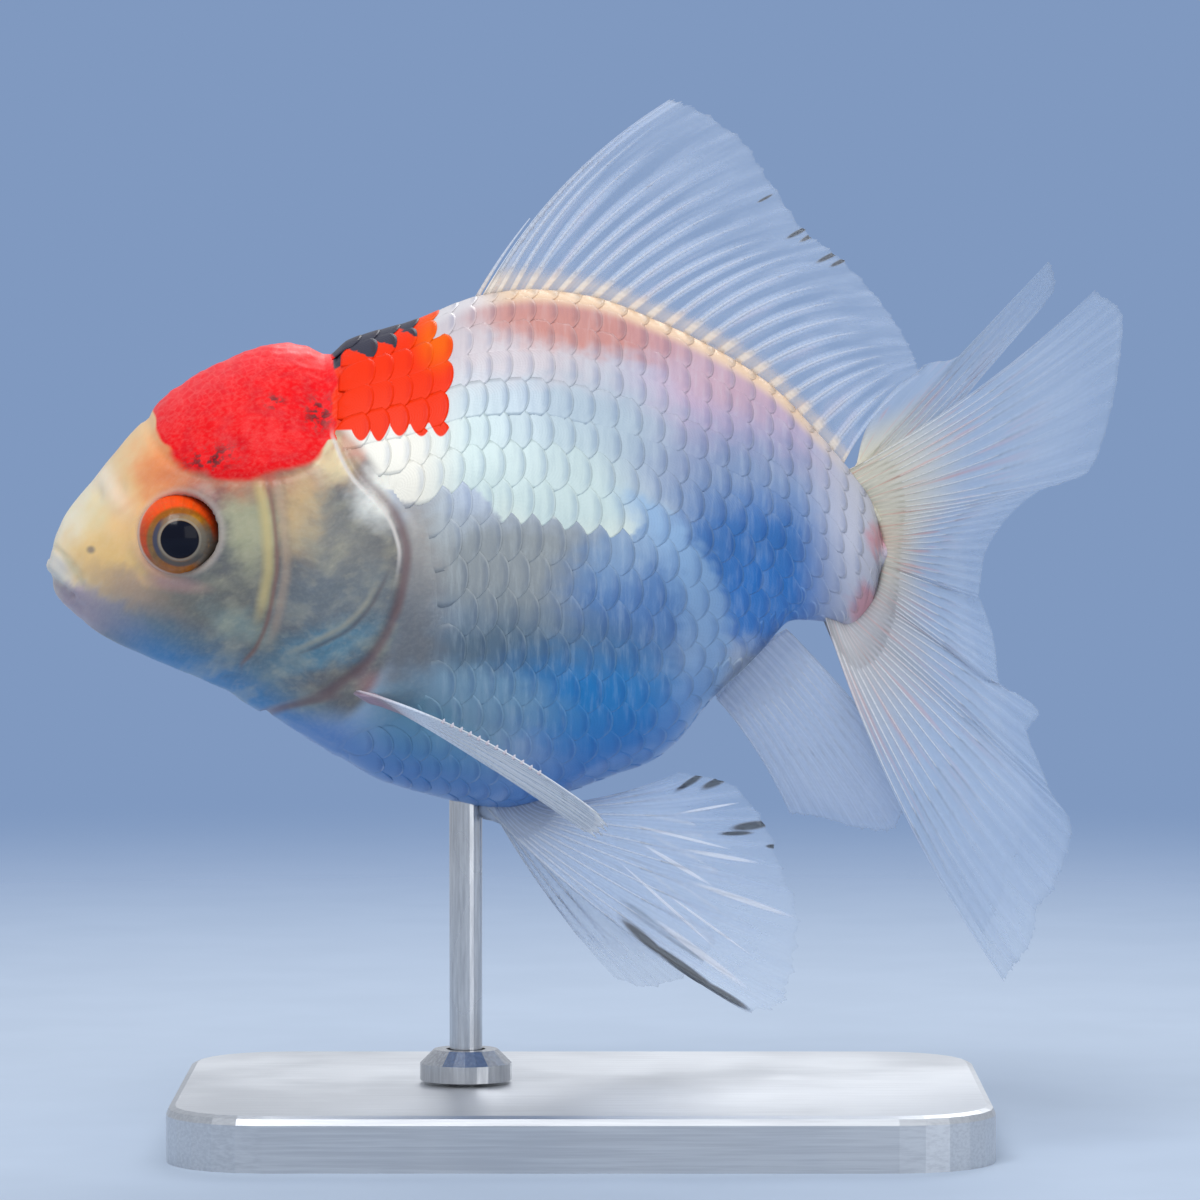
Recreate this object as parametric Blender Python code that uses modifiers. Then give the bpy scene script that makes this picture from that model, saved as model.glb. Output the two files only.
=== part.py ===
"""A young fancy goldfish with a red cap, life size, held on a plain display stand.

The fish faces -X and turns its left flank to -Y. The origin is the middle of the
underside of the stand. The tables hold millimetres on a fish whose body is 75 mm
long: x runs back from the tip of the snout, z up from it and y out from the middle.
"""
import math

import bmesh
import bpy
from mathutils import Matrix, Vector

# Driving dimensions, in metres
BODY_LENGTH = 0.075                       # snout to the root of the tail fin
MM = BODY_LENGTH / 75.0
SNOUT = Vector((-0.0486, 0.0, 0.0530))    # tip of the snout over the stand's underside
GAP = 0.0003                              # between pieces that touch
FIN_THICKNESS = 0.0006
FIN_LIFT = 0.65                           # fin roots stand this far off the skin, mm

BASE_LENGTH = 0.074
BASE_WIDTH = 0.052
BASE_THICKNESS = 0.005
BASE_CORNER = 0.009
ROD_X = 38.0                              # mm behind the snout, near the centre of gravity
ROD_RADIUS = 0.0015
ROD_IN_BELLY = 0.0045
ROD_IN_BASE = 0.003
RIM_ROUNDING = 0.0008
ROUND_FACES = 24
DRILL_LENGTH = 0.02
COLLAR_RADIUS = 0.0042
COLLAR_HEIGHT = 0.0028

# Outline of the body in the middle plane: (x, z)
BACK = (
    (0.0, 0.1), (0.5, 2.0), (1.5, 4.2), (3.9, 7.2), (7.8, 11.9), (12.2, 15.9), (16.8, 18.3),
    (21.5, 19.6), (23.4, 19.3), (25.1, 18.7), (27.3, 20.2), (33.0, 21.9), (39.7, 24.3),
    (44.0, 24.8), (49.3, 24.2), (55.4, 22.0), (61.5, 19.0), (66.0, 16.0), (70.5, 11.4),
    (73.3, 8.1), (75.2, 5.4), (76.1, 2.0),
)
BELLY = (
    (0.0, -1.2), (0.5, -2.6), (1.7, -4.4), (5.1, -7.1), (9.2, -9.0), (17.4, -12.6),
    (24.7, -17.1), (30.2, -20.3), (37.0, -22.2), (41.6, -22.9), (44.8, -22.2), (51.9, -19.7),
    (54.9, -18.6), (57.2, -16.9), (60.9, -12.5), (64.7, -9.0), (68.1, -5.6), (71.2, -5.8),
    (73.2, -6.6), (75.2, -4.9), (76.1, -1.0),
)
# Half widths: (x, above the middle, at the middle, below the middle)
BREADTH = (
    (0.0, 1.1, 1.5, 1.1), (0.5, 2.2, 2.6, 2.1), (1.5, 3.0, 3.5, 3.1), (4.0, 4.6, 5.3, 4.7),
    (8.0, 6.8, 7.4, 6.3), (12.0, 8.5, 8.7, 7.6), (17.0, 10.4, 10.3, 9.0), (22.0, 11.4, 11.8, 10.5),
    (25.5, 11.0, 12.5, 11.6), (32.0, 11.8, 13.9, 13.4), (38.0, 12.4, 15.0, 15.1),
    (44.0, 12.3, 15.5, 16.0), (50.0, 11.3, 15.0, 15.8), (55.0, 9.9, 13.2, 14.4),
    (58.0, 8.8, 11.4, 12.2), (60.5, 7.8, 9.5, 8.4), (63.0, 6.9, 7.8, 5.9), (67.0, 5.7, 6.1, 4.6),
    (73.0, 3.9, 4.2, 3.2), (75.2, 2.4, 2.6, 2.0), (76.1, 0.9, 1.1, 0.8),
)
AROUND = 24                               # faces round the body
# Cross sections: closer and closer towards the lips, then (first x, spacing, number)
# for skull, trunk and stem, then the rounded end of the stem
LIP_SECTIONS = 8
SECTIONS = ((10.0, 1.52, 13), (29.8, 2.75, 11), (59.6, 1.95, 7))
END_SECTIONS = (73.3, 74.4, 75.3, 75.9, 76.1)

# Where the body is parted, mm
BOX_REACH = (90.0, 120.0)                 # width and height of the boxes that part it
OVAL_REACH = 25.0                         # how far the oval bars run out to each side
JAW_BLOCK = (40.0, 30.0, 16.0)            # block under the mouth line
NECK_X = 27.3
STEM_X = 62.0
CAP = dict(centre=(17.7, 14.9), reach=(8.3, 7.3), inner=-OVAL_REACH, turn=0.0)
GILL = dict(centre=(26.1, 1.3), reach=(6.2, 10.1), inner=7.6, turn=-5.0)
GAPE = dict(start=(-0.4, -1.15), slope=41.0)
EYE = dict(x=12.2, y=7.0, z=2.55, radius=3.75)
BALL_FACES = (16, 8)

# Fins: one row a guide ray, (root x, root z, tip x, tip y, tip z, bow, cup).
# Bow bends the ray in the side view, cup bulges it outwards.
DORSAL_RAYS = (
    (40.2, 25.2, 56.9, 0.3, 42.1, 1.5, 0.0), (43.0, 25.5, 58.9, 0.5, 41.4, 1.7, 0.2),
    (46.4, 25.3, 63.6, 0.7, 38.2, 1.9, 0.3), (50.0, 24.8, 66.1, 0.6, 34.4, 1.8, 0.4),
    (54.0, 23.3, 69.2, 0.2, 30.0, 1.7, 0.3), (58.2, 21.5, 72.1, -0.4, 27.8, 1.7, 0.0),
    (62.4, 19.4, 76.0, -0.8, 23.6, 1.6, -0.3), (67.0, 15.9, 78.7, -0.8, 19.4, 1.2, -0.4),
    (72.9, 9.4, 79.6, -0.5, 16.9, 0.6, -0.2),
)
PECTORAL_RAYS = (
    (29.7, -11.7, 50.3, 23.0, -21.6, 1.1, 1.0), (30.9, -12.5, 51.0, 19.6, -22.9, 0.9, 0.8),
    (31.9, -13.0, 50.0, 16.2, -24.2, 0.4, 0.6), (32.8, -13.4, 45.8, 13.6, -21.4, 0.1, 0.4),
    (33.6, -13.7, 41.3, 12.9, -18.6, 0.0, 0.2),
)
PECTORAL_RIGHT_LIFT = (-3.0, 5.5)         # the far one is swept higher: x and z of its tips
PELVIC_RAYS_LEFT = (
    (40.6, -23.2, 63.6, 15.0, -40.0, -1.0, 1.0), (41.2, -23.3, 66.6, 15.0, -39.3, -0.8, 1.2),
    (41.9, -23.3, 67.9, 14.6, -35.5, -0.6, 1.4), (42.6, -23.2, 68.3, 14.0, -31.6, -0.4, 1.5),
    (43.3, -23.1, 66.9, 13.0, -27.5, -0.3, 1.4), (44.0, -22.9, 65.3, 11.8, -23.3, -0.2, 1.2),
    (44.8, -22.7, 61.7, 9.6, -19.6, -0.3, 0.8), (45.6, -22.5, 57.6, 7.2, -19.0, -0.4, 0.4),
)
PELVIC_RAYS_RIGHT = (
    (40.6, -23.2, 51.8, 12.0, -39.8, -0.7, 1.0), (41.2, -23.3, 55.0, 12.8, -40.8, -0.6, 1.2),
    (41.9, -23.3, 58.8, 13.2, -39.4, -0.5, 1.4), (42.6, -23.2, 61.1, 13.0, -36.2, -0.4, 1.5),
    (43.3, -23.1, 61.8, 12.2, -32.2, -0.3, 1.4), (44.0, -22.9, 60.8, 11.0, -27.9, -0.2, 1.2),
    (44.8, -22.7, 58.3, 9.0, -23.9, -0.3, 0.8), (45.6, -22.5, 54.7, 6.6, -22.0, -0.4, 0.4),
)
ANAL_RAYS = (
    (61.6, -13.4, 67.6, 4.6, -23.0, 0.4, 0.5), (62.9, -12.2, 70.4, 5.2, -23.3, 0.4, 0.6),
    (64.2, -11.0, 73.8, 5.6, -24.3, 0.4, 0.7), (65.5, -9.8, 76.6, 5.6, -24.6, 0.4, 0.7),
    (66.8, -8.4, 78.0, 5.0, -22.0, 0.3, 0.6), (68.2, -7.2, 77.4, 3.8, -17.8, 0.2, 0.4),
)
TAIL_UPPER_LEFT = (
    (74.2, 8.9, 95.0, 9.0, 24.5, -0.8, 0.6), (75.2, 7.6, 97.1, 11.6, 22.3, -0.7, 1.0),
    (76.0, 6.2, 96.3, 13.6, 15.6, -0.5, 1.6), (76.6, 4.8, 93.9, 13.6, 8.4, -0.3, 1.8),
    (76.9, 3.4, 89.9, 12.4, 6.7, -0.2, 1.7), (77.1, 2.0, 86.6, 11.2, 3.7, 0.0, 1.5),
    (77.1, 0.8, 84.8, 10.4, 0.4, 0.0, 1.3), (77.0, -0.5, 84.4, 10.2, -2.8, 0.0, 1.2),
)
TAIL_LOWER_LEFT = (
    (76.95, -0.95, 84.4, 10.2, -3.3, 0.0, 1.2), (76.7, -2.4, 85.8, 11.6, -7.4, 0.0, 1.4),
    (76.4, -3.5, 86.2, 12.8, -10.8, 0.0, 1.7), (75.9, -4.6, 89.6, 14.8, -13.5, 0.2, 1.9),
    (75.2, -5.7, 90.1, 16.6, -18.9, 0.2, 2.0), (74.4, -6.7, 92.3, 18.4, -23.3, 0.2, 2.0),
    (73.5, -7.4, 90.8, 19.4, -28.4, -0.2, 1.8), (72.5, -7.5, 88.4, 19.6, -34.0, -0.7, 1.4),
    (71.5, -7.2, 86.2, 19.0, -36.8, -1.3, 0.9),
)
TAIL_UPPER_RIGHT = (
    (74.2, 8.9, 92.1, 6.0, 27.0, 1.3, 0.6), (75.2, 7.6, 92.7, 8.4, 25.5, 0.6, 0.9),
    (76.0, 6.2, 91.2, 10.4, 23.3, 0.2, 1.2), (76.6, 4.8, 87.7, 12.0, 19.2, 0.0, 1.4),
    (76.9, 3.4, 84.1, 13.0, 15.2, 0.0, 1.4), (77.1, 2.0, 82.2, 13.2, 10.6, 0.0, 1.3),
    (77.1, 0.8, 82.8, 13.0, 4.6, 0.0, 1.2), (77.0, -0.5, 84.6, 12.8, -1.9, 0.0, 1.2),
)
TAIL_LOWER_RIGHT = (
    (76.95, -0.95, 84.6, 12.8, -2.4, 0.0, 1.2), (76.7, -2.4, 85.2, 13.4, -7.0, 0.0, 1.4),
    (76.4, -3.5, 86.0, 14.2, -10.8, 0.0, 1.7), (75.9, -4.6, 88.8, 15.6, -13.6, 0.2, 1.9),
    (75.2, -5.7, 89.6, 17.0, -18.8, 0.2, 2.0), (74.4, -6.7, 91.2, 18.4, -23.4, 0.2, 2.0),
    (73.5, -7.4, 90.0, 19.2, -28.4, 0.0, 1.8), (72.5, -7.5, 88.2, 19.2, -33.4, -0.3, 1.4),
    (71.5, -7.2, 86.6, 18.4, -36.2, -0.6, 0.9),
)
KEEL_ROOT_Y = 2.0                         # roots of the pelvic and anal fins
TAIL_ROOT_Y = (0.75, 2.1)                 # at the top of the stem, at its lower corner
TAIL_ROOT_Z = (8.9, -7.5)


def start_scene():
    """Clear the scene and make one collection for the fish and one for the cutters."""
    for leftover in list(bpy.data.objects):
        bpy.data.objects.remove(leftover, do_unlink=True)
    groups = []
    for title in ("goldfish_on_stand", "cutters"):
        group = bpy.data.collections.new(title)
        bpy.context.scene.collection.children.link(group)
        groups.append(group)
    return groups


fish, cutters = start_scene()


def finish_of(name, colour, roughness, metallic=0.0):
    """A Principled material in one colour."""
    material = bpy.data.materials.new(name)
    material.use_nodes = True
    shader = material.node_tree.nodes["Principled BSDF"]
    shader.inputs["Base Color"].default_value = (*colour, 1.0)
    shader.inputs["Roughness"].default_value = roughness
    shader.inputs["Metallic"].default_value = metallic
    return material


def new_piece(name, mesh, group, finish=None):
    """Link a mesh as a named object, with its finish."""
    piece = bpy.data.objects.new(name, mesh)
    group.objects.link(piece)
    if finish:
        mesh.materials.clear()
        mesh.materials.append(finish_of(name, *finish))
    if group is cutters:
        piece.hide_render = True
        piece.display_type = "WIRE"
    return piece


def mesh_from(name, bm):
    """Turn a bmesh into a mesh with its faces pointing out."""
    bm.normal_update()
    bmesh.ops.recalc_face_normals(bm, faces=bm.faces)
    mesh = bpy.data.meshes.new(name)
    bm.to_mesh(mesh)
    bm.free()
    return mesh


def at(x, y, z):
    """A point of the fish, from millimetres behind, beside and above the snout."""
    return SNOUT + Vector((x, y, z)) * MM


def read(table, x, column=1):
    """Read one column of a table at x, on a smooth line that never overshoots."""
    x = min(max(x, table[0][0]), table[-1][0])
    last = len(table) - 1
    index = max(i for i in range(last) if table[i][0] <= x)

    def slope(i):
        return (table[i + 1][column] - table[i][column]) / (table[i + 1][0] - table[i][0])

    def tangent(i):
        if i == 0 or i == last:
            return slope(min(i, last - 1))
        before, after = slope(i - 1), slope(i)
        return 0.0 if before * after <= 0.0 else 2.0 * before * after / (before + after)

    width = table[index + 1][0] - table[index][0]
    t = (x - table[index][0]) / width
    low, high = table[index][column], table[index + 1][column]
    return (low * (1.0 + 2.0 * t) * (1.0 - t) ** 2 + high * t * t * (3.0 - 2.0 * t)
            + width * t * (1.0 - t) * (tangent(index) * (1.0 - t) - tangent(index + 1) * t))


# ---- the body: one loft from the lips to the root of the tail ----

def breadth(x, height):
    """Half width scale at x, with height from -1 at the belly to 1 at the back."""
    above, middle, below = (read(BREADTH, x, column) for column in (1, 2, 3))
    lift = height / 0.7
    return middle + 0.5 * (above - below) * lift + (0.5 * (above + below) - middle) * lift ** 2


def half_width(x, z):
    """How far the skin stands from the middle plane at this place in the side view."""
    top, bottom = read(BACK, x), read(BELLY, x)
    height = (2.0 * z - top - bottom) / (top - bottom)
    height = min(max(height, -1.0), 1.0)
    return math.sqrt(1.0 - height ** 2) * breadth(x, height)


def stations():
    """Places of the cross sections, from the lips to the tail end."""
    first_even = SECTIONS[0][0]
    places = [first_even * (i / LIP_SECTIONS) ** 1.7 for i in range(LIP_SECTIONS)]
    for first, spacing, number in SECTIONS:
        places += [first + spacing * i for i in range(number)]
    return places + list(END_SECTIONS)


def body_mesh():
    """Loft the cross sections and close both ends with a fan of faces."""
    bm = bmesh.new()
    rings = []
    for x in stations():
        top, bottom = read(BACK, x), read(BELLY, x)
        ring = []
        for i in range(AROUND):
            angle = 2.0 * math.pi * i / AROUND
            height = math.cos(angle)
            y = math.sin(angle) * breadth(x, height)
            z = 0.5 * (top + bottom) + 0.5 * (top - bottom) * height
            ring.append(bm.verts.new(at(x, y, z)))
        rings.append(ring)
    for ring, following in zip(rings, rings[1:]):
        for i in range(AROUND):
            j = (i + 1) % AROUND
            bm.faces.new((ring[i], following[i], following[j], ring[j]))
    for ring in (rings[0], rings[-1]):
        centre = bm.verts.new(sum((vert.co for vert in ring), Vector()) / AROUND)
        for i in range(AROUND):
            bm.faces.new((ring[i], ring[(i + 1) % AROUND], centre))
    bmesh.ops.triangulate(bm, faces=bm.faces)
    return mesh_from("body", bm)


def cut_with(piece, cutter, operation="DIFFERENCE"):
    """Cut a piece with a closed cutter, or keep only what lies inside it."""
    boolean = piece.modifiers.new(cutter.name, "BOOLEAN")
    boolean.object = cutter
    boolean.operation = operation
    boolean.solver = "EXACT"


def box_cutter(name, low_x, high_x):
    """A box between two places along the fish, wider and taller than the body."""
    bm = bmesh.new()
    bmesh.ops.create_cube(bm, size=1.0)
    size = Vector((high_x - low_x, *BOX_REACH)) * MM
    for vert in bm.verts:
        vert.co = at(0.5 * (low_x + high_x), 0.0, 0.0) + vert.co * size
    return new_piece(name, mesh_from(name, bm), cutters)


def oval_cutter(name, centre, reach, inner, turn, side=-1, grow=0.0):
    """An oval bar across the fish, from inner outwards on one side."""
    bm = bmesh.new()
    across = OVAL_REACH - inner
    bmesh.ops.create_cone(bm, cap_ends=True, segments=36, radius1=1.0, radius2=1.0, depth=1.0)
    tilt = Matrix.Rotation(math.radians(turn), 3, "Y")
    for vert in bm.verts:
        oval = tilt @ Vector((vert.co.x * (reach[0] + grow), 0.0, vert.co.y * (reach[1] + grow)))
        y = inner - grow + (vert.co.z + 0.5) * (across + grow)
        vert.co = at(centre[0] + oval.x, side * y, centre[1] + oval.z)
    return new_piece(name, mesh_from(name, bm), cutters)


def ball_cutter(name, side, radius):
    """A ball round one eye."""
    bm = bmesh.new()
    bmesh.ops.create_uvsphere(bm, u_segments=BALL_FACES[0], v_segments=BALL_FACES[1],
                              radius=radius * MM)
    bmesh.ops.translate(bm, verts=bm.verts, vec=at(EYE["x"], side * EYE["y"], EYE["z"]))
    return new_piece(name, mesh_from(name, bm), cutters)


def gape_cutter(name, drop=0.0):
    """A block under the slanting line of the mouth, which parts the lower jaw."""
    bm = bmesh.new()
    bmesh.ops.create_cube(bm, size=1.0)
    slant = Matrix.Rotation(math.radians(GAPE["slope"]), 3, "Y")
    for vert in bm.verts:
        block = Vector((vert.co.x + 0.25, vert.co.y, vert.co.z - 0.5))
        turned = slant @ (block * Vector(JAW_BLOCK) - Vector((0.0, 0.0, drop)))
        vert.co = at(GAPE["start"][0] + turned.x, turned.y, GAPE["start"][1] + turned.z)
    return new_piece(name, mesh_from(name, bm), cutters)


GAP_MM = GAP / MM
front_box = box_cutter("front_box", -10.0, NECK_X)
trunk_box = box_cutter("trunk_box", NECK_X + GAP_MM, STEM_X)
stem_box = box_cutter("stem_box", STEM_X + GAP_MM, 90.0)
cap_cutter = oval_cutter("cap_cutter", **CAP)
cap_clearance = oval_cutter("cap_clearance", **CAP, grow=GAP_MM)
jaw_cutter = gape_cutter("jaw_cutter", drop=GAP_MM)
jaw_clearance = gape_cutter("jaw_clearance")

rod_hole_mesh = bmesh.new()
bmesh.ops.create_cone(rod_hole_mesh, cap_ends=True, segments=ROUND_FACES, depth=DRILL_LENGTH,
                      radius1=ROD_RADIUS + GAP, radius2=ROD_RADIUS + GAP)
belly_at_rod = at(ROD_X, 0.0, read(BELLY, ROD_X))
hole_top = belly_at_rod.z + ROD_IN_BELLY
bmesh.ops.translate(rod_hole_mesh, verts=rod_hole_mesh.verts,
                    vec=(belly_at_rod.x, 0.0, hole_top - 0.5 * DRILL_LENGTH))
rod_hole = new_piece("rod_hole", mesh_from("rod_hole", rod_hole_mesh), cutters)

SKIN_FINISH = ((0.66, 0.68, 0.74), 0.35)
whole_body = body_mesh()
head = new_piece("head", whole_body.copy(), fish, ((0.70, 0.62, 0.50), 0.35))
trunk = new_piece("trunk", whole_body.copy(), fish, SKIN_FINISH)
tail_stem = new_piece("tail_stem", whole_body.copy(), fish, ((0.62, 0.60, 0.66), 0.35))
head_cap = new_piece("head_cap", whole_body.copy(), fish, ((0.90, 0.02, 0.03), 0.45))
lower_jaw = new_piece("lower_jaw", whole_body.copy(), fish, ((0.55, 0.50, 0.55), 0.35))
cut_with(head, front_box, "INTERSECT")
cut_with(trunk, trunk_box, "INTERSECT")
cut_with(tail_stem, stem_box, "INTERSECT")
cut_with(head_cap, cap_cutter, "INTERSECT")
cut_with(lower_jaw, jaw_cutter, "INTERSECT")
cut_with(head, cap_clearance)
cut_with(head, jaw_clearance)
cut_with(trunk, rod_hole)

# ---- gill covers and eyes, one on each side ----

SIDES = (("left", -1), ("right", 1))
for hand, side in SIDES:
    plate = oval_cutter("gill_plate_" + hand, **GILL, side=side)
    recess = oval_cutter("gill_recess_" + hand, **GILL, side=side, grow=GAP_MM)
    cover = new_piece("gill_cover_" + hand, whole_body.copy(), fish, ((0.48, 0.47, 0.38), 0.35))
    cut_with(cover, plate, "INTERSECT")
    cut_with(cover, cap_clearance)
    cut_with(head, recess)
    cut_with(trunk, recess)
    socket = ball_cutter("eye_socket_" + hand, side, EYE["radius"] + GAP_MM)
    cut_with(head, socket)
    ball = bmesh.new()
    bmesh.ops.create_uvsphere(ball, u_segments=BALL_FACES[0], v_segments=BALL_FACES[1],
                              radius=EYE["radius"] * MM)
    bmesh.ops.rotate(ball, verts=ball.verts, matrix=Matrix.Rotation(math.pi / 2.0, 3, "X"))
    eye = new_piece("eye_" + hand, mesh_from("eye_" + hand, ball), fish, ((0.03, 0.03, 0.06), 0.08))
    eye.location = at(EYE["x"], side * EYE["y"], EYE["z"])
    eye.data.shade_smooth()


# ---- fins: each is a fan of rays, thickened into a thin plate ----

def skin_root(x, z):
    """Distance of a side fin's root from the middle plane, just clear of the skin."""
    return half_width(x, z) + FIN_LIFT


def middle_root(x, z):
    """Root of a fin that grows from the middle line of the back."""
    return 0.0


def keel_root(x, z):
    """Root of the paired fins that grow side by side from the keel."""
    return KEEL_ROOT_Y


def tail_root(x, z):
    """The two halves of the tail start close together and part downwards."""
    share = (z - TAIL_ROOT_Z[0]) / (TAIL_ROOT_Z[1] - TAIL_ROOT_Z[0])
    return TAIL_ROOT_Y[0] + (TAIL_ROOT_Y[1] - TAIL_ROOT_Y[0]) * share


def fin(name, rays, root_y, side, columns, rows, finish):
    """Sweep a sheet along a fan of rays, from its root to its edge."""
    rows_by_place = [(place, *ray) for place, ray in enumerate(rays)]
    bm = bmesh.new()
    bmesh.ops.create_grid(bm, x_segments=columns, y_segments=rows, size=0.5)
    for vert in bm.verts:
        place = (vert.co.x + 0.5) * (len(rays) - 1)
        t = vert.co.y + 0.5
        root_x, root_z, tip_x, tip_y, tip_z, bow, cup = (
            read(rows_by_place, place, column) for column in range(1, 8))
        root = Vector((root_x, root_y(root_x, root_z), root_z))
        tip = Vector((tip_x, tip_y, tip_z))
        along = tip - root
        sideways = Vector((-along.z, 0.0, along.x)).normalized()
        bend = (sideways * bow + Vector((0.0, cup, 0.0))) * 4.0 * t * (1.0 - t)
        point = root + along * t + bend
        vert.co = at(point.x, side * point.y, point.z)
    sheet = new_piece(name, mesh_from(name, bm), fish, finish)
    thickness = sheet.modifiers.new("thickness", "SOLIDIFY")
    thickness.thickness = FIN_THICKNESS
    thickness.offset = 0.0
    return sheet


FIN_FINISH = ((0.72, 0.78, 0.86), 0.3)
TAIL_FINISH = ((0.78, 0.76, 0.74), 0.3)
lift_x, lift_z = PECTORAL_RIGHT_LIFT
PAIRED_RAYS = {
    "left": (PECTORAL_RAYS, PELVIC_RAYS_LEFT, TAIL_UPPER_LEFT, TAIL_LOWER_LEFT),
    "right": (tuple((*ray[:2], ray[2] + lift_x, ray[3], ray[4] + lift_z, *ray[5:])
                    for ray in PECTORAL_RAYS),
              PELVIC_RAYS_RIGHT, TAIL_UPPER_RIGHT, TAIL_LOWER_RIGHT),
}
fin("dorsal_fin", DORSAL_RAYS, middle_root, 1, 22, 4, FIN_FINISH)
for hand, side in SIDES:
    pectoral, pelvic, upper, lower = PAIRED_RAYS[hand]
    fin("pectoral_fin_" + hand, pectoral, skin_root, side, 7, 4, FIN_FINISH)
    fin("pelvic_fin_" + hand, pelvic, keel_root, side, 12, 4, FIN_FINISH)
    fin("anal_fin_" + hand, ANAL_RAYS, keel_root, side, 7, 3, FIN_FINISH)
    fin("tail_upper_" + hand, upper, tail_root, side, 12, 5, TAIL_FINISH)
    fin("tail_lower_" + hand, lower, tail_root, side, 13, 5, TAIL_FINISH)


# ---- display stand: a flat base, a rod up into the belly and a collar round its foot ----

def adopt(name, group, finish=None):
    """Name the primitive just added and move it to its collection."""
    piece = bpy.context.active_object
    mesh = piece.data
    place = piece.location.copy()
    bpy.data.objects.remove(piece, do_unlink=True)
    mesh.name = name
    piece = new_piece(name, mesh, group, finish)
    piece.location = place
    return piece


bpy.ops.mesh.primitive_cube_add(size=1.0, location=(0.0, 0.0, 0.5 * BASE_THICKNESS))
stand_base = adopt("stand_base", fish, ((0.62, 0.63, 0.65), 0.4, 0.6))
stand_base.data.transform(Matrix.Diagonal((BASE_LENGTH, BASE_WIDTH, BASE_THICKNESS, 1.0)))
corner_mesh = bmesh.new()
corner_mesh.from_mesh(stand_base.data)
uprights = [edge for edge in corner_mesh.edges
            if abs(edge.verts[0].co.z - edge.verts[1].co.z) > 0.5 * BASE_THICKNESS]
bmesh.ops.bevel(corner_mesh, geom=uprights, offset=BASE_CORNER, segments=6, affect="EDGES", profile=0.5)
rim = [edge for edge in corner_mesh.edges
       if min(vert.co.z for vert in edge.verts) > 0.49 * BASE_THICKNESS]
bmesh.ops.bevel(corner_mesh, geom=rim, offset=RIM_ROUNDING, segments=2, affect="EDGES", profile=0.5)
corner_mesh.to_mesh(stand_base.data)
corner_mesh.free()

rod_foot = BASE_THICKNESS - ROD_IN_BASE
socket_middle = rod_foot - GAP + 0.5 * DRILL_LENGTH
bpy.ops.mesh.primitive_cylinder_add(vertices=ROUND_FACES, radius=ROD_RADIUS + GAP,
                                    depth=DRILL_LENGTH, location=(belly_at_rod.x, 0.0, socket_middle))
cut_with(stand_base, adopt("rod_socket", cutters))

rod_height = hole_top - GAP - rod_foot
bpy.ops.mesh.primitive_cylinder_add(vertices=ROUND_FACES, radius=ROD_RADIUS, depth=rod_height,
                                    location=(belly_at_rod.x, 0.0, rod_foot + 0.5 * rod_height))
stand_rod = adopt("stand_rod", fish, ((0.7, 0.7, 0.72), 0.25, 1.0))
stand_rod.data.shade_smooth()
stand_rod.data.set_sharp_from_angle(angle=math.radians(30.0))

collar_profile = bpy.data.meshes.new("stand_collar")
profile = bmesh.new()
outline = ((ROD_RADIUS + GAP, COLLAR_HEIGHT), (0.7 * COLLAR_RADIUS, COLLAR_HEIGHT),
           (COLLAR_RADIUS, 0.55 * COLLAR_HEIGHT), (COLLAR_RADIUS, 0.0), (ROD_RADIUS + GAP, 0.0))
corners = [profile.verts.new((radius, 0.0, height)) for radius, height in outline]
for i, corner in enumerate(corners):
    profile.edges.new((corner, corners[(i + 1) % len(corners)]))
profile.to_mesh(collar_profile)
profile.free()
stand_collar = new_piece("stand_collar", collar_profile, fish, ((0.7, 0.7, 0.72), 0.25, 1.0))
stand_collar.location = (belly_at_rod.x, 0.0, BASE_THICKNESS + GAP)
turning = stand_collar.modifiers.new("turning", "SCREW")
turning.steps = ROUND_FACES
turning.render_steps = ROUND_FACES
turning.use_merge_vertices = True
turning.merge_threshold = 0.0001
turning.use_smooth_shade = False
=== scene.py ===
import math
from functools import reduce

import bpy
import numpy as np
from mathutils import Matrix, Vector


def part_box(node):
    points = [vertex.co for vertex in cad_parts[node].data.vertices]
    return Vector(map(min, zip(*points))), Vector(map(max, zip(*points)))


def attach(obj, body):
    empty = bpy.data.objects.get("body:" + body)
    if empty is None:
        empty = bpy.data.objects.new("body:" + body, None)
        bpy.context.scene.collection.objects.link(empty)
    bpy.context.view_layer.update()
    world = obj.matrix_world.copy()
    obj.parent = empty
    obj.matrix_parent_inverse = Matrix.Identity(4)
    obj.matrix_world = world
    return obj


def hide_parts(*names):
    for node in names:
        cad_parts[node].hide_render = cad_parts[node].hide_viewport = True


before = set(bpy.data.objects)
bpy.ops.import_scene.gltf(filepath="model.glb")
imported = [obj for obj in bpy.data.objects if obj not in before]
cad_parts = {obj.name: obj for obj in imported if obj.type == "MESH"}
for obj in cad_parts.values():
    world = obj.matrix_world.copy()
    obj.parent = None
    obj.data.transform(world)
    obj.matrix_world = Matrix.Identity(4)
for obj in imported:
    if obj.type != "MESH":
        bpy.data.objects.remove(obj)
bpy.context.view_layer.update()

# ======== The skin ========
# The moist hide of a young goldfish with a red cap: one unbroken surface from the lips to
# the root of the tail. On the model it is a cast resin body, with the folds of the mouth,
# nostrils, eye rims and gill covers carved in, painted and varnished.

EYE_X, EYE_Y, EYE_Z = 12.2, 7.0, 2.55     # mm behind, beside and above the tip of the snout
eye_low, eye_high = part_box("eye_left")
snout_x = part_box("head")[0][0]
MM = (0.5 * (eye_low[0] + eye_high[0]) - snout_x) / EYE_X
SNOUT = np.array((snout_x, 0.0, 0.5 * (eye_low[2] + eye_high[2]) - EYE_Z * MM))
EYE_RADIUS = 0.5 * (eye_high[0] - eye_low[0]) / MM

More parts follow.
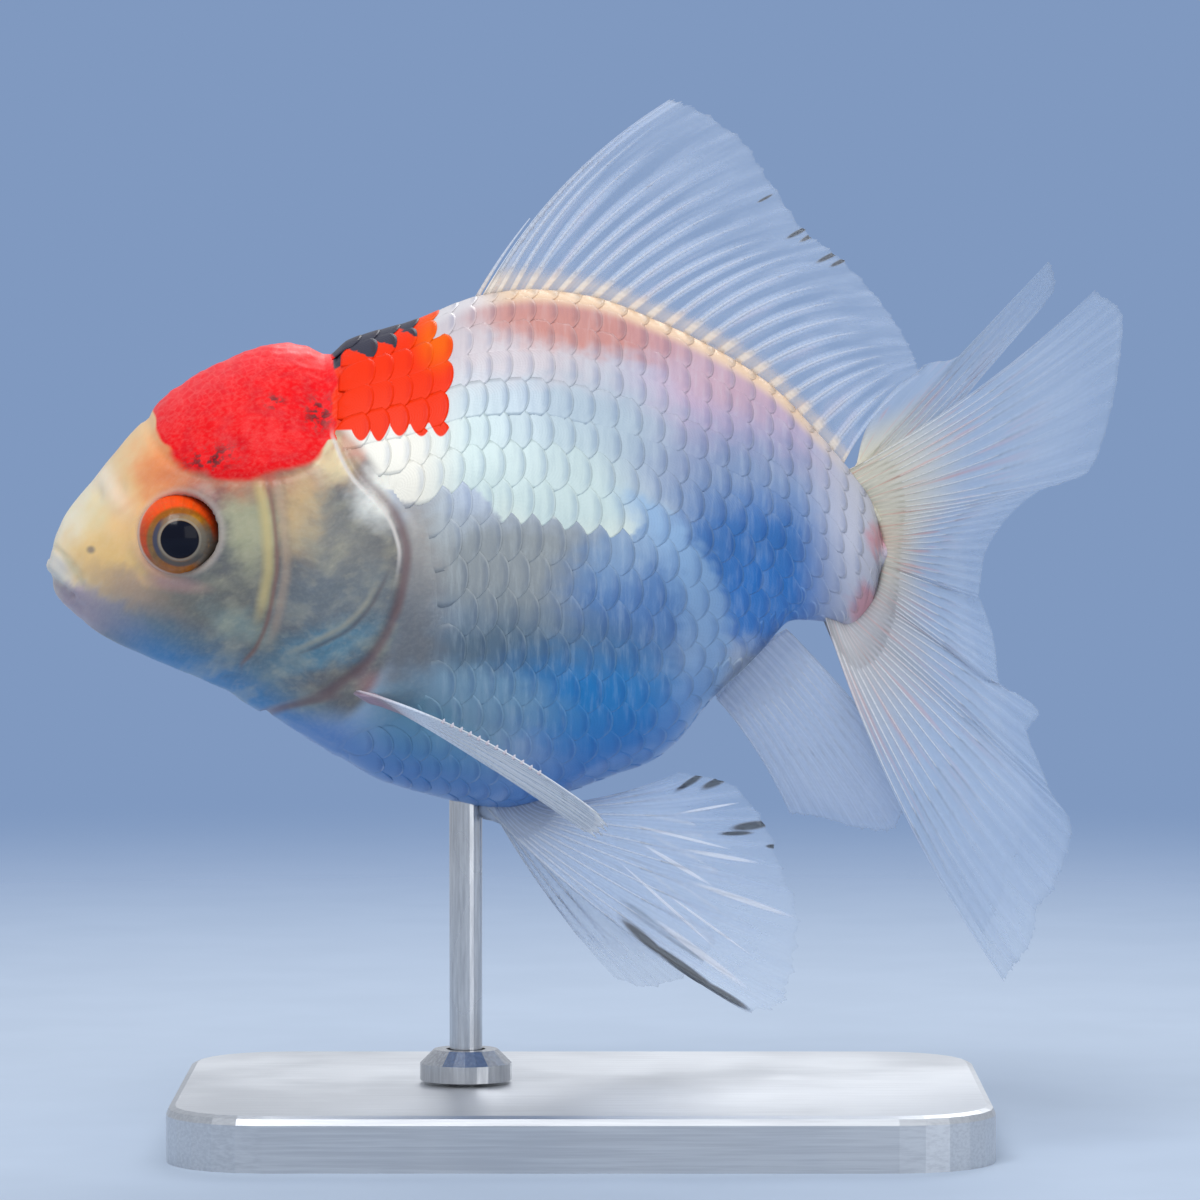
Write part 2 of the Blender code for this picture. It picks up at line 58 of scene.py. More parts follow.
# Outline in the middle plane (x, z), and half widths (x, above, at and below the middle)
BACK = (
    (0.0, 0.1), (0.5, 2.0), (1.5, 4.2), (3.9, 7.2), (7.8, 11.9), (12.2, 15.9), (16.8, 18.3),
    (21.5, 19.6), (23.4, 19.3), (25.1, 18.7), (27.3, 20.2), (33.0, 21.9), (39.7, 24.3),
    (44.0, 24.8), (49.3, 24.2), (55.4, 22.0), (61.5, 19.0), (66.0, 16.0), (70.5, 11.4),
    (73.3, 8.1), (75.2, 5.4), (76.1, 2.0),
)
BELLY = (
    (0.0, -1.2), (0.5, -2.6), (1.7, -4.4), (5.1, -7.1), (9.2, -9.0), (17.4, -12.6),
    (24.7, -17.1), (30.2, -20.3), (37.0, -22.2), (41.6, -22.9), (44.8, -22.2), (51.9, -19.7),
    (54.9, -18.6), (57.2, -16.9), (60.9, -12.5), (64.7, -9.0), (68.1, -5.6), (71.2, -5.8),
    (73.2, -6.6), (75.2, -4.9), (76.1, -1.0),
)
BREADTH = (
    (0.0, 1.1, 1.5, 1.1), (0.5, 2.2, 2.6, 2.1), (1.5, 3.0, 3.5, 3.1), (4.0, 4.6, 5.3, 4.7),
    (8.0, 6.8, 7.4, 6.3), (12.0, 8.5, 8.7, 7.6), (17.0, 10.4, 10.3, 9.0), (22.0, 11.4, 11.8, 10.5),
    (25.5, 11.0, 12.5, 11.6), (32.0, 11.8, 13.9, 13.4), (38.0, 12.4, 15.0, 15.1),
    (44.0, 12.3, 15.5, 16.0), (50.0, 11.3, 15.0, 15.8), (55.0, 9.9, 13.2, 14.4),
    (58.0, 8.8, 11.4, 12.2), (60.5, 7.8, 9.5, 8.4), (63.0, 6.9, 7.8, 5.9), (67.0, 5.7, 6.1, 4.6),
    (73.0, 3.9, 4.2, 3.2), (75.2, 2.4, 2.6, 2.0), (76.1, 0.9, 1.1, 0.8),
)
TAIL_END = 76.1
VIEW_CENTRE = (50.3, -3.7)                # the middle of the side view, mm behind and above the snout
VIEW_DISTANCE = 600.0
VIEW_TILT = math.radians(2.5)
COAT_DEPTH = 0.16                         # the skin lies this far under the scales' crowns
SKIN_AROUND = 280                         # faces round the body
NOSE_RINGS = ((-0.10, 0.90), (-0.18, 0.72), (-0.24, 0.45), (-0.26, 0.18))   # x, share of the first ring


def read(table, x, column=1):
    """Read one column of a table at x, on a smooth line that never overshoots."""
    rows = np.asarray(table, float)
    places, values = rows[:, 0], rows[:, column]
    steps = np.diff(places)
    slopes = np.diff(values) / steps
    before, after = slopes[:-1], slopes[1:]
    same_way = before * after > 0.0
    inner = np.where(same_way, 2.0 * before * after / np.where(same_way, before + after, 1.0), 0.0)
    tangents = np.concatenate((slopes[:1], inner, slopes[-1:]))
    x = np.clip(x, places[0], places[-1])
    i = np.clip(np.searchsorted(places, x, side="right") - 1, 0, len(steps) - 1)
    t = (x - places[i]) / steps[i]
    return (values[i] * (1.0 + 2.0 * t) * (1.0 - t) ** 2 + values[i + 1] * t * t * (3.0 - 2.0 * t)
            + steps[i] * t * (1.0 - t) * (tangents[i] * (1.0 - t) - tangents[i + 1] * t))


def fade(value, start, end):
    """Rise smoothly from 0 at start to 1 at end."""
    t = np.clip((value - start) / (end - start), 0.0, 1.0)
    return t * t * (3.0 - 2.0 * t)


def ridge(distance, width):
    """A soft ridge, 1 at its crest."""
    return np.exp(-(distance / width) ** 2)


def breadth(x, height):
    """Half width scale at x, with height from -1 at the belly to 1 at the back."""
    above, middle, below = (read(BREADTH, x, column) for column in (1, 2, 3))
    lift = height / 0.7
    return middle + 0.5 * (above - below) * lift + (0.5 * (above + below) - middle) * lift ** 2


def round_body(x, angle):
    """The plain body, mm: the angle runs from the back down the right side and round."""
    top, bottom = read(BACK, x), read(BELLY, x)
    height = np.cos(angle)
    return np.stack((x + 0.0 * angle, np.sin(angle) * breadth(x, height),
                     0.5 * (top + bottom) + 0.5 * (top - bottom) * height), axis=-1)


def half_width(x, z):
    """How far the body stands from the middle plane at this place in the side view."""
    top, bottom = read(BACK, x), read(BELLY, x)
    height = np.clip((2.0 * z - top - bottom) / (top - bottom), -1.0, 1.0)
    return np.sqrt(1.0 - height ** 2) * breadth(x, height)


# Round each section, places are given by their share of the way from the back to the belly
girth_x = np.linspace(0.0, TAIL_END, 382)
girth_angle = np.linspace(0.0, math.pi, 361)
girth_points = round_body(girth_x[:, None], girth_angle[None, :])
girth_steps = np.linalg.norm(np.diff(girth_points, axis=1), axis=2)
girth_run = np.concatenate((np.zeros((len(girth_x), 1)), np.cumsum(girth_steps, axis=1)), axis=1)
HALF_GIRTH = girth_run[:, -1]
girth_share = np.linspace(0.0, 1.0, 301)
ANGLES = np.array([np.interp(girth_share, run / run[-1], girth_angle) for run in girth_run])


def angle_at(x, share):
    """The angle at a share of the half girth; shares past 0 or 1 run on over the other side."""
    side = np.sign(share) + (share == 0.0)
    folded = np.abs(share)
    beyond = folded > 1.0
    folded = np.where(beyond, 2.0 - folded, folded)
    across = np.clip(x / TAIL_END, 0.0, 1.0) * (len(girth_x) - 1)
    down = np.clip(folded, 0.0, 1.0) * (len(girth_share) - 1)
    i = np.minimum(across.astype(int), len(girth_x) - 2)
    j = np.minimum(down.astype(int), len(girth_share) - 2)
    u, v = across - i, down - j
    angle = ((ANGLES[i, j] * (1 - v) + ANGLES[i, j + 1] * v) * (1 - u)
             + (ANGLES[i + 1, j] * (1 - v) + ANGLES[i + 1, j + 1] * v) * u)
    return side * np.where(beyond, 2.0 * math.pi - angle, angle)


def square_to(along, around):
    """Unit vector square to two others."""
    normal = np.cross(along, around)
    return normal / np.maximum(np.linalg.norm(normal, axis=-1, keepdims=True), 1e-9)


def outward(x, angle, step=0.02):
    """Unit normal of the plain body."""
    return square_to(round_body(x + step, angle) - round_body(x - step, angle),
                     round_body(x, angle + step) - round_body(x, angle - step))


def seen(x, y, z):
    """Where a place on either flank lies in the side view, as its folds and markings are drawn."""
    nearer = VIEW_DISTANCE / (VIEW_DISTANCE - np.abs(y))
    drop = np.abs(y) * math.sin(VIEW_TILT)
    return (VIEW_CENTRE[0] + (x - VIEW_CENTRE[0]) * nearer,
            VIEW_CENTRE[1] + (z - drop - VIEW_CENTRE[1]) * nearer)


# Lines of the gill cover and cheek folds: (z, x)
GILL_RIM = ((-14.6, 17.4), (-13.5, 20.0), (-12.3, 23.9), (-10.7, 26.5), (-8.8, 28.8), (-5.7, 30.7),
            (-2.7, 31.7), (0.5, 32.15), (2.6, 31.7), (4.4, 30.8), (5.8, 29.6), (7.5, 27.9),
            (9.2, 26.9), (11.4, 26.0))
CHEEK_FOLD = ((-9.6, 17.4), (-8.0, 18.75), (-5.9, 19.7), (-3.3, 20.3), (-0.5, 20.7), (1.9, 20.6),
              (4.7, 20.3), (7.0, 19.8))
SECOND_FOLD = ((-7.0, 20.3), (-4.0, 21.2), (0.0, 21.7), (4.0, 21.5), (8.0, 20.9))
PLATE_EDGE = ((-8.6, 22.4), (-7.4, 25.0), (-6.1, 27.3), (-3.5, 29.5), (0.5, 31.0), (4.0, 30.1))
SCALES_START = ((-24.0, 24.0), (-17.0, 26.5), (-14.0, 32.0), (-9.0, 34.2), (-2.7, 34.6), (0.5, 34.2),
                (4.9, 32.0), (9.0, 28.4), (11.4, 26.3), (16.0, 25.8), (22.0, 25.4))
CAP_CENTRE = (17.7, 14.9)
CAP_REACH = (8.3, 7.1)
CAP_POWER = 2.6
GAPE = ((-0.4, -1.0), (0.8, -2.2), (2.0, -3.3))
LIP_CREASE = ((0.5, 1.05), (1.6, 0.1), (2.7, -1.4), (2.8, -2.4))
CHIN_CREASE = ((2.0, -3.4), (3.0, -4.4), (3.0, -5.4))
NOSTRIL_FLAP = ((4.5, 7.9), (5.4, 6.4), (6.4, 4.9))
NOSTRILS = ((4.5, 6.0), (6.5, 6.5))
EYE_OPENING = (12.43, 2.73)               # middle of the eye's opening in the skin
SHOULDER_BAND = ((-13.0, 0.0), (3.0, 0.0))
BUMP_SPOT = (30.0, -12.2)                 # lump over the root of the pectoral fin


def from_line(x, z, line):
    """Distance across a line that climbs the head, negative in front of it."""
    step = 0.2
    lean = (read(line, z + step) - read(line, z - step)) / (2.0 * step)
    return (x - read(line, z)) / np.sqrt(1.0 + lean ** 2)


def within(z, line, soft=1.0):
    """1 where the line runs, fading out past its ends."""
    return fade(z, line[0][0] - soft, line[0][0] + soft) * fade(z, line[-1][0] + soft, line[-1][0] - soft)


def from_path(x, z, path):
    """Distance to a short path of straight runs."""
    nearest = np.full(np.shape(x), 1e3)
    for (x0, z0), (x1, z1) in zip(path, path[1:]):
        run = np.array((x1 - x0, z1 - z0))
        t = np.clip(((x - x0) * run[0] + (z - z0) * run[1]) / (run @ run), 0.0, 1.0)
        nearest = np.minimum(nearest, np.hypot(x - x0 - t * run[0], z - z0 - t * run[1]))
    return nearest


def cap_share(x, z):
    """Below 1 inside the red cap, 1 on its border."""
    return (np.abs((x - CAP_CENTRE[0]) / CAP_REACH[0]) ** CAP_POWER
            + np.abs((z - CAP_CENTRE[1]) / CAP_REACH[1]) ** CAP_POWER)


LUMP_WAVES = 9


def lumps(points, size, seed):
    """Smooth lumps of about the given size, from crossed waves, from -1 to 1."""
    draw = np.random.default_rng(seed)
    total = np.zeros(points.shape[:-1])
    for _ in range(LUMP_WAVES):
        way = draw.normal(size=3)
        way *= 2.0 * math.pi / (size * draw.uniform(0.8, 1.5) * np.linalg.norm(way))
        total += np.sin(points @ way + draw.uniform(0.0, 2.0 * math.pi))
    return total / (0.5 * LUMP_WAVES)


def scaled(x, z):
    """1 where scales cover the skin, 0 on the bare head and shoulder."""
    return fade(x - read(SCALES_START, z), -0.2, 0.5)


def relief(x, y, z):
    """Height of the carved folds over the plain body, mm."""
    side = np.abs(y)
    spots = np.stack((x, y, z), axis=-1)
    eye = np.hypot(x - EYE_OPENING[0], z - EYE_OPENING[1])
    x, z = seen(x, y, z)
    height = -COAT_DEPTH * scaled(x, z)
    # mouth: a groove between two rounded lips, with a crease behind each
    mouth = from_path(x, z, GAPE)
    height += -0.24 * ridge(mouth, 0.24) + 0.20 * ridge(mouth - 0.68, 0.40)
    height += -0.17 * ridge(from_path(x, z, LIP_CREASE), 0.30)
    height += -0.10 * ridge(from_path(x, z, CHIN_CREASE), 0.35)
    # nostrils: a standing flap of skin between two shallow openings
    on_side = fade(side, 1.0, 2.0)
    for pit_x, pit_z in NOSTRILS:
        height += -0.26 * on_side * ridge(np.hypot(x - pit_x, 0.6 * (z - pit_z)), 0.42)
    height += 0.20 * on_side * ridge(from_path(x, z, NOSTRIL_FLAP), 0.75)
    # eye: the skin swells into a pale rim, then turns in over the ball
    height += on_side * (0.26 * ridge(eye - 4.15, 0.50) - 0.10 * ridge(eye - 5.3, 0.6)
                         - 3.4 * fade(eye, 3.60, 3.00))
    # cheek folds, the plate of the gill cover and its free rim
    height += -0.30 * within(z, CHEEK_FOLD) * ridge(from_line(x, z, CHEEK_FOLD), 0.28)
    height += 0.16 * within(z, CHEEK_FOLD) * ridge(from_line(x, z, CHEEK_FOLD) + 0.7, 0.5)
    height += -0.16 * within(z, SECOND_FOLD) * ridge(from_line(x, z, SECOND_FOLD), 0.26)
    edge = from_line(x, z, PLATE_EDGE)
    below = within(z, PLATE_EDGE) * fade(z, 0.5, -3.0)
    height += below * (0.14 * ridge(edge + 0.35, 0.35) - 0.20 * ridge(edge - 0.25, 0.22))
    for lift in (1.1, 2.1):
        height += -0.16 * within(z, PLATE_EDGE[:4]) * ridge(edge - lift, 0.18)
    # shoulder: a rounded band of bare skin behind the gill cover
    height += 0.20 * within(z, SHOULDER_BAND, 2.0) * ridge(x - 33.4, 0.8)
    height += 0.45 * ridge(np.hypot((x - BUMP_SPOT[0]) / 1.9, (z - BUMP_SPOT[1]) / 1.5), 1.0)
    rim = from_line(x, z, GILL_RIM)
    along_rim = within(z, GILL_RIM, 0.7)
    height += along_rim * (0.30 * fade(rim, -4.0, -0.5) * fade(rim, 0.12, -0.12)
                           - 0.16 * ridge(rim - 0.35, 0.45) * (rim > 0.0))
    # cap: low warty lumps, with a groove round it
    cap = cap_share(x, z)
    inside = fade(cap, 1.15, 0.7)
    height += inside * (0.22 + 0.07 * lumps(spots, 2.3, 4) + 0.05 * lumps(spots, 1.2, 5))
    height += -0.22 * ridge(cap - 1.22, 0.14) * (x < 30.0)
    # small unevenness of the bare head
    height += 0.035 * (1.0 - inside) * lumps(spots, 1.7, 6) * fade(x, 34.0, 28.0)
    return height


def to_world(points):
    """Fish millimetres to metres over the stand."""
    return SNOUT + np.asarray(points) * MM


def new_mesh(name, points, quads, triangles=(), smooth=True):
    """Link a mesh of quads and triangles as a named object; points are in fish mm."""
    mesh = bpy.data.meshes.new(name)
    loops = np.concatenate((np.ravel(quads), np.ravel(triangles))).astype(np.int32)
    sizes = [4] * len(quads) + [3] * len(triangles)
    starts = np.concatenate(((0,), np.cumsum(sizes)[:-1])).astype(np.int32)
    mesh.vertices.add(len(points))
    mesh.vertices.foreach_set("co", to_world(points).astype(np.float32).ravel())
    mesh.loops.add(len(loops))
    mesh.loops.foreach_set("vertex_index", loops)
    mesh.polygons.add(len(sizes))
    mesh.polygons.foreach_set("loop_start", starts)
    mesh.polygons.foreach_set("use_smooth", [smooth] * len(sizes))
    mesh.update(calc_edges=True)
    mesh.validate()
    piece = bpy.data.objects.new(name, mesh)
    bpy.context.scene.collection.objects.link(piece)
    return piece


def note(piece, name, values):
    """Store a number or a vector for each point of the mesh, for its material to read."""
    values = np.asarray(values, np.float32)
    kind, slot_name = ("FLOAT", "value") if values.ndim == 1 else ("FLOAT_VECTOR", "vector")
    piece.data.attributes.new(name, kind, "POINT").data.foreach_set(slot_name, values.ravel())


def lay_out(piece, name, places):
    """Give the mesh a UV map, from one place for each of its points."""
    layer = piece.data.uv_layers.new(name=name)
    corners = np.empty(len(piece.data.loops), np.int32)
    piece.data.loops.foreach_get("vertex_index", corners)
    layer.uv.foreach_set("vector", np.asarray(places, np.float32)[corners].ravel())


def spot_of(points):
    """What the markings read: x, depth under the back line, and z of the side view, in mm."""
    x, z = seen(points[..., 0], points[..., 1], points[..., 2])
    return np.stack((x, read(BACK, points[..., 0]) - points[..., 2], z), axis=-1)


def over_belly(points):
    """Height over the belly line, mm."""
    return points[..., 2] - read(BELLY, points[..., 0])


# Rings round the body: close together at the snout, fine over the head, wider under the scales
skin_x = np.concatenate((9.0 * (np.arange(45) / 45) ** 1.6, np.arange(9.0, 34.0, 0.26),
                         np.arange(34.0, 75.0, 0.6), np.linspace(75.0, TAIL_END, 7)))
skin_share = np.linspace(-1.0, 1.0, SKIN_AROUND, endpoint=False)
skin_angle = angle_at(skin_x[:, None], skin_share[None, :])
skin_base = round_body(skin_x[:, None], skin_angle)
skin_normal = outward(np.clip(skin_x, 0.03, TAIL_END - 0.03)[:, None], skin_angle)
skin_lift = relief(skin_base[..., 0], skin_base[..., 1], skin_base[..., 2])
skin_lift *= fade(skin_x, -0.3, 0.6)[:, None] * fade(skin_x, TAIL_END + 0.2, 75.0)[:, None]
skin_points = skin_base + skin_normal * skin_lift[..., None]
first_ring = skin_points[0]
middle = first_ring.mean(axis=0)
nose = [middle + (first_ring - middle) * share + (x, 0.0, 0.0) for x, share in NOSE_RINGS]
skin_points = np.concatenate((np.array(nose[::-1]), skin_points))
ring_count = len(skin_points)
skin_all = np.concatenate((skin_points.reshape(-1, 3), skin_points[[0, -1]].mean(axis=1)))


def ring_quads(rings, around, closed=True):
    """Faces between rings of points that follow one another."""
    i, j = np.meshgrid(np.arange(rings - 1), np.arange(around if closed else around - 1), indexing="ij")
    k = (j + 1) % around
    return np.stack((i * around + j, (i + 1) * around + j, (i + 1) * around + k, i * around + k),
                    axis=-1).reshape(-1, 4)


def end_fans(rings, around):
    """Faces that close such rings at both ends, to the two points that come after them."""
    turns = np.arange(around)
    beyond = (turns + 1) % around
    last = (rings - 1) * around
    end = np.full(around, rings * around)
    return np.concatenate((np.stack((end, turns, beyond), axis=-1),
                           np.stack((end + 1, last + beyond, last + turns), axis=-1)))


skin = new_mesh("skin", skin_all, ring_quads(ring_count, SKIN_AROUND), end_fans(ring_count, SKIN_AROUND))
note(skin, "spot", spot_of(skin_all))
note(skin, "over belly", over_belly(skin_all))
side_x, side_z = seen(skin_all[:, 0], skin_all[:, 1], skin_all[:, 2])
head_lines = (CHEEK_FOLD, PLATE_EDGE, GILL_RIM)
note(skin, "fold distance", np.stack([np.clip(from_line(side_x, side_z, line), -20.0, 20.0)
                                      for line in head_lines], axis=-1))
note(skin, "fold reach", np.stack([within(side_z, line) for line in head_lines], axis=-1))


def unwrapped(x, share):
    """Place on the skin's unwrap: along the body, and round it from belly to belly."""
    return np.stack((0.02 + 0.96 * np.clip(x / TAIL_END, 0.0, 1.0), 0.5 + 0.48 * share), axis=-1)


skin_shares = np.concatenate((np.tile(skin_share, ring_count), (0.0, 0.0)))
lay_out(skin, "OFBake", unwrapped(skin_all[:, 0], skin_shares))


def paint(red, green, blue):
    """A paint's colour, from 0 to 255 on the maker's card, as light."""
    def light(part):
        part /= 255.0
        return part / 12.92 if part <= 0.04045 else ((part + 0.055) / 1.055) ** 2.4
    return light(red), light(green), light(blue), 1.0


class Level:
    """A value that changes over a surface; sums and products of such values add their nodes."""

    def __init__(self, nodes, socket):
        self.nodes = nodes
        self.socket = socket

    def __add__(self, other):
        return self.nodes.maths("ADD", self, other)

    def __sub__(self, other):
        return self.nodes.maths("SUBTRACT", self, other)

    def __mul__(self, other):
        return self.nodes.maths("MULTIPLY", self, other)

    def most(self, other):
        return self.nodes.maths("MAXIMUM", self, other)


class Nodes:
    """Short ways to place and join shader nodes in one tree."""

    def __init__(self, tree):
        self.tree = tree

    def add(self, kind, settings=None, **inputs):
        """Add a node, set its options, and set or link its inputs by name."""
        node = self.tree.nodes.new("ShaderNode" + kind)
        for option, value in (settings or {}).items():
            setattr(node, option, value)
        for name, value in inputs.items():
            self.feed(node.inputs[name.replace("_", " ")], value)
        return node

    def feed(self, socket, value):
        """Link a socket to another node's output, or set its value."""
        value = getattr(value, "socket", value)
        if isinstance(value, bpy.types.NodeSocket):
            self.tree.links.new(value, socket)
        elif value is not None:
            socket.default_value = value

    def worked_out(self, kind, settings, values):
        """Add a node and feed its inputs in their own order."""
        node = self.add(kind, settings)
        for socket, value in zip(node.inputs, values):
            self.feed(socket, value)
        return Level(self, node.outputs[0])

    def maths(self, operation, *values, clamp=False):
        return self.worked_out("Math", {"operation": operation, "use_clamp": clamp}, values)

    def vectors(self, operation, *values):
        return self.worked_out("VectorMath", {"operation": operation}, values)

    def between(self, value, start, end, low=0.0, high=1.0, kind="SMOOTHSTEP"):
        """Rise smoothly from low at start to high at end."""
        return self.worked_out("MapRange", {"interpolation_type": kind}, (value, start, end, low, high))

    def hoop(self, value, start, end, soft):
        """1 from start to end, soft at both."""
        return self.between(value, start - soft, start + soft) * self.between(value, end + soft, end - soft)

    def noise(self, vector, scale, detail=2.0, roughness=0.5):
        return Level(self, self.add("TexNoise", None, Vector=vector, Scale=scale, Detail=detail,
                                    Roughness=roughness).outputs[0])

    def length(self, vector):
        node = self.add("VectorMath", {"operation": "LENGTH"}, Vector=vector)
        return Level(self, node.outputs["Value"])

    def noted(self, name, output="Vector"):
        """What the mesh notes for each of its points."""
        return Level(self, self.add("Attribute", {"attribute_name": name}).outputs[output])

    def parts(self, vector):
        return [Level(self, socket) for socket in self.add("SeparateXYZ", None, Vector=vector).outputs]

    def joined(self, x, y):
        return self.add("CombineXYZ", None, X=x, Y=y).outputs[0]

    def oval(self, vector, centre, reach, turn, soft):
        """1 inside an oval of the side view, fading over its border."""
        node = self.add("Mapping", {"vector_type": "TEXTURE"}, Vector=vector,
                        Location=(centre[0], 0.0, centre[1]), Rotation=(0.0, math.radians(turn), 0.0),
                        Scale=(reach[0], 1e6, reach[1]))
        return self.between(self.length(node.outputs[0]), 1.0 + soft, 1.0 - soft)

    def mix(self, share, under, over, blend="MIX"):
        """Lay one colour over another."""
        node = self.add("Mix", {"data_type": "RGBA", "blend_type": blend})
        for number, value in ((0, share), (6, under), (7, over)):
            self.feed(node.inputs[number], value)
        return node.outputs[2]

    def coat(self, under, tone, share):
        """Lay one paint over a colour."""
        return self.mix(share, under, paint(*tone))

    def coats(self, under, place, rows):
        """Lay soft ovals of paint over a colour, one for each row as in WASHES."""
        for tone, x, z, reach_x, reach_z, turn, soft, strength in rows:
            spread = self.oval(place, (x, z), (reach_x, reach_z), turn, soft)
            under = self.coat(under, tone, spread * strength)
        return under

    def bump(self, height, strength, depth):
        """A relief too fine for the mesh; depth is in mm."""
        return self.add("Bump", None, Height=height, Strength=strength, Distance=depth * MM).outputs[0]

    def finish(self, **inputs):
        """Set or link the inputs of the material's own shader."""
        shader = self.tree.nodes["Principled BSDF"]
        for name, value in inputs.items():
            self.feed(shader.inputs[name.replace("_", " ")], value)


def new_group(name, inputs, outputs):
    """A shader node group with named sockets, each (name, kind, value).

    Returns its nodes, what comes in and what goes out by name, and the tree."""
    tree = bpy.data.node_groups.new(name, "ShaderNodeTree")
    for socket_name, kind, value in inputs:
        socket = tree.interface.new_socket(socket_name, in_out="INPUT", socket_type="NodeSocket" + kind)
        if value is not None:
            socket.default_value = value
    for socket_name, kind in outputs:
        tree.interface.new_socket(socket_name, in_out="OUTPUT", socket_type="NodeSocket" + kind)
    nodes = Nodes(tree)
    given = {socket.name: Level(nodes, socket) for socket in tree.nodes.new("NodeGroupInput").outputs}
    return nodes, given, tree.nodes.new("NodeGroupOutput").inputs, tree


# Coats of paint over the pearl ground, each a soft oval in the side view:
# (colour, x, z, reach x, reach z, turn in degrees, softness, strength)
PEARL = (186, 198, 214)
WASHES = (
    ((220, 207, 209), 39.0, 18.5, 12.0, 5.0, 0, 0.6, 0.9),      # shoulder behind the patch
    ((215, 183, 206), 65.0, 12.0, 12.0, 6.5, 38, 0.6, 0.9),     # lavender rear back
    ((214, 136, 120), 49.5, 21.6, 11.0, 2.6, 8, 0.45, 0.85),    # salmon under the dorsal fin
    ((208, 169, 180), 61.0, 17.0, 7.0, 2.4, 30, 0.6, 0.7),
    ((182, 200, 212), 46.0, 12.5, 11.0, 4.0, 8, 0.5, 0.9),
    # blues of the rear flank and belly: partly the fish's own tint, partly painted reflection of blue
    # surroundings
    ((128, 152, 188), 65.0, 4.5, 10.0, 7.0, 30, 0.55, 0.95),    # blue-grey rear flank
    ((36, 114, 188), 65.0, 0.0, 8.0, 5.5, 10, 0.6, 0.9),
    ((49, 128, 206), 66.0, -4.0, 7.0, 4.0, 0, 0.5, 0.9),
    ((150, 156, 158), 43.0, -1.0, 12.0, 5.0, 0, 0.45, 1.0),     # grey under the bright band
    ((80, 126, 182), 53.6, -4.5, 6.5, 7.0, 0, 0.5, 0.95),
    ((150, 178, 206), 53.0, 1.0, 4.2, 2.4, -35, 0.8, 0.6),      # paler above the belly's rear
    ((86, 108, 124), 42.0, -9.6, 12.0, 5.0, 5, 0.6, 0.95),      # slate belly
    ((22, 132, 202), 51.5, -14.5, 10.0, 5.5, 10, 0.6, 0.95),
    ((164, 160, 156), 33.4, 1.0, 2.4, 6.0, 0, 0.8, 0.95),       # shoulder band behind the gills
    ((110, 114, 120), 33.0, -8.5, 2.8, 7.0, 0, 0.7, 0.95),
    ((102, 154, 180), 35.0, -16.5, 7.0, 3.6, 20, 0.6, 0.9),
    ((132, 168, 192), 39.8, -12.6, 6.5, 2.4, 12, 0.6, 0.75),
    ((186, 194, 194), 35.8, 3.6, 1.2, 3.0, 0, 0.8, 0.5),        # painted glints on the first silvery scales
)
HEAD_WASHES = (
    ((108, 108, 110), 18.0, 0.0, 10.0, 9.0, 0, 0.5, 1.0),       # cheek
    ((238, 232, 212), 3.4, 3.0, 5.4, 7.6, 30, 0.4, 1.0),        # snout
    ((244, 204, 152), 8.4, 12.6, 3.4, 5.4, 30, 0.6, 0.95),      # forehead before the cap
    ((238, 214, 160), 6.4, 4.0, 3.4, 6.4, 28, 0.6, 0.9),
    ((248, 196, 132), 9.0, 5.4, 2.6, 6.8, 28, 0.7, 0.9),        # peach between snout and eye
    ((250, 142, 78), 10.6, 8.6, 2.4, 3.2, 35, 0.9, 0.85),       # orange forehead
    ((238, 196, 128), 6.2, -1.0, 5.0, 2.6, 24, 0.6, 0.9),       # under the eye
    ((176, 150, 134), 9.0, -3.2, 5.0, 1.5, 22, 0.7, 0.8),
    ((170, 154, 170), 2.8, -4.2, 2.8, 1.7, 32, 0.6, 0.9),       # lower lip and chin, their mauve partly painted shade under the upper lip
    ((166, 154, 162), 6.0, -5.4, 3.4, 1.6, 32, 0.7, 0.8),
    ((114, 114, 108), 14.8, -3.6, 5.0, 2.8, 0, 0.6, 0.9),
    ((142, 160, 154), 17.4, -6.2, 3.0, 1.4, 20, 0.8, 0.7),
    ((180, 178, 144), 18.2, 3.8, 2.2, 4.6, 0, 0.6, 0.9),        # yellow-grey behind the eye
    ((200, 108, 78), 17.6, 7.6, 7.6, 1.8, -3, 1.0, 0.85),       # red glow under the cap
    ((212, 179, 131), 23.2, 4.2, 2.2, 3.6, 0, 0.6, 0.9),        # beige of the gill cover
    ((134, 134, 130), 27.0, 1.0, 3.6, 5.0, 0, 0.6, 0.9),
    ((250, 250, 242), 30.2, 5.6, 2.2, 2.4, 0, 0.7, 0.9),
    ((115, 124, 131), 25.0, -4.0, 4.4, 3.0, 0, 0.6, 0.9),
    ((116, 125, 131), 29.6, -3.0, 1.8, 2.6, 0, 0.8, 0.8),
    ((240, 218, 172), 25.9, 9.4, 1.8, 2.4, -20, 0.6, 0.95),     # cream behind the cap's foot
    ((204, 142, 122), 27.6, 10.6, 1.2, 1.8, -30, 0.6, 0.9),
    ((84, 132, 156), 25.0, -8.2, 6.0, 1.8, -18, 0.7, 0.85),     # gill membrane
)
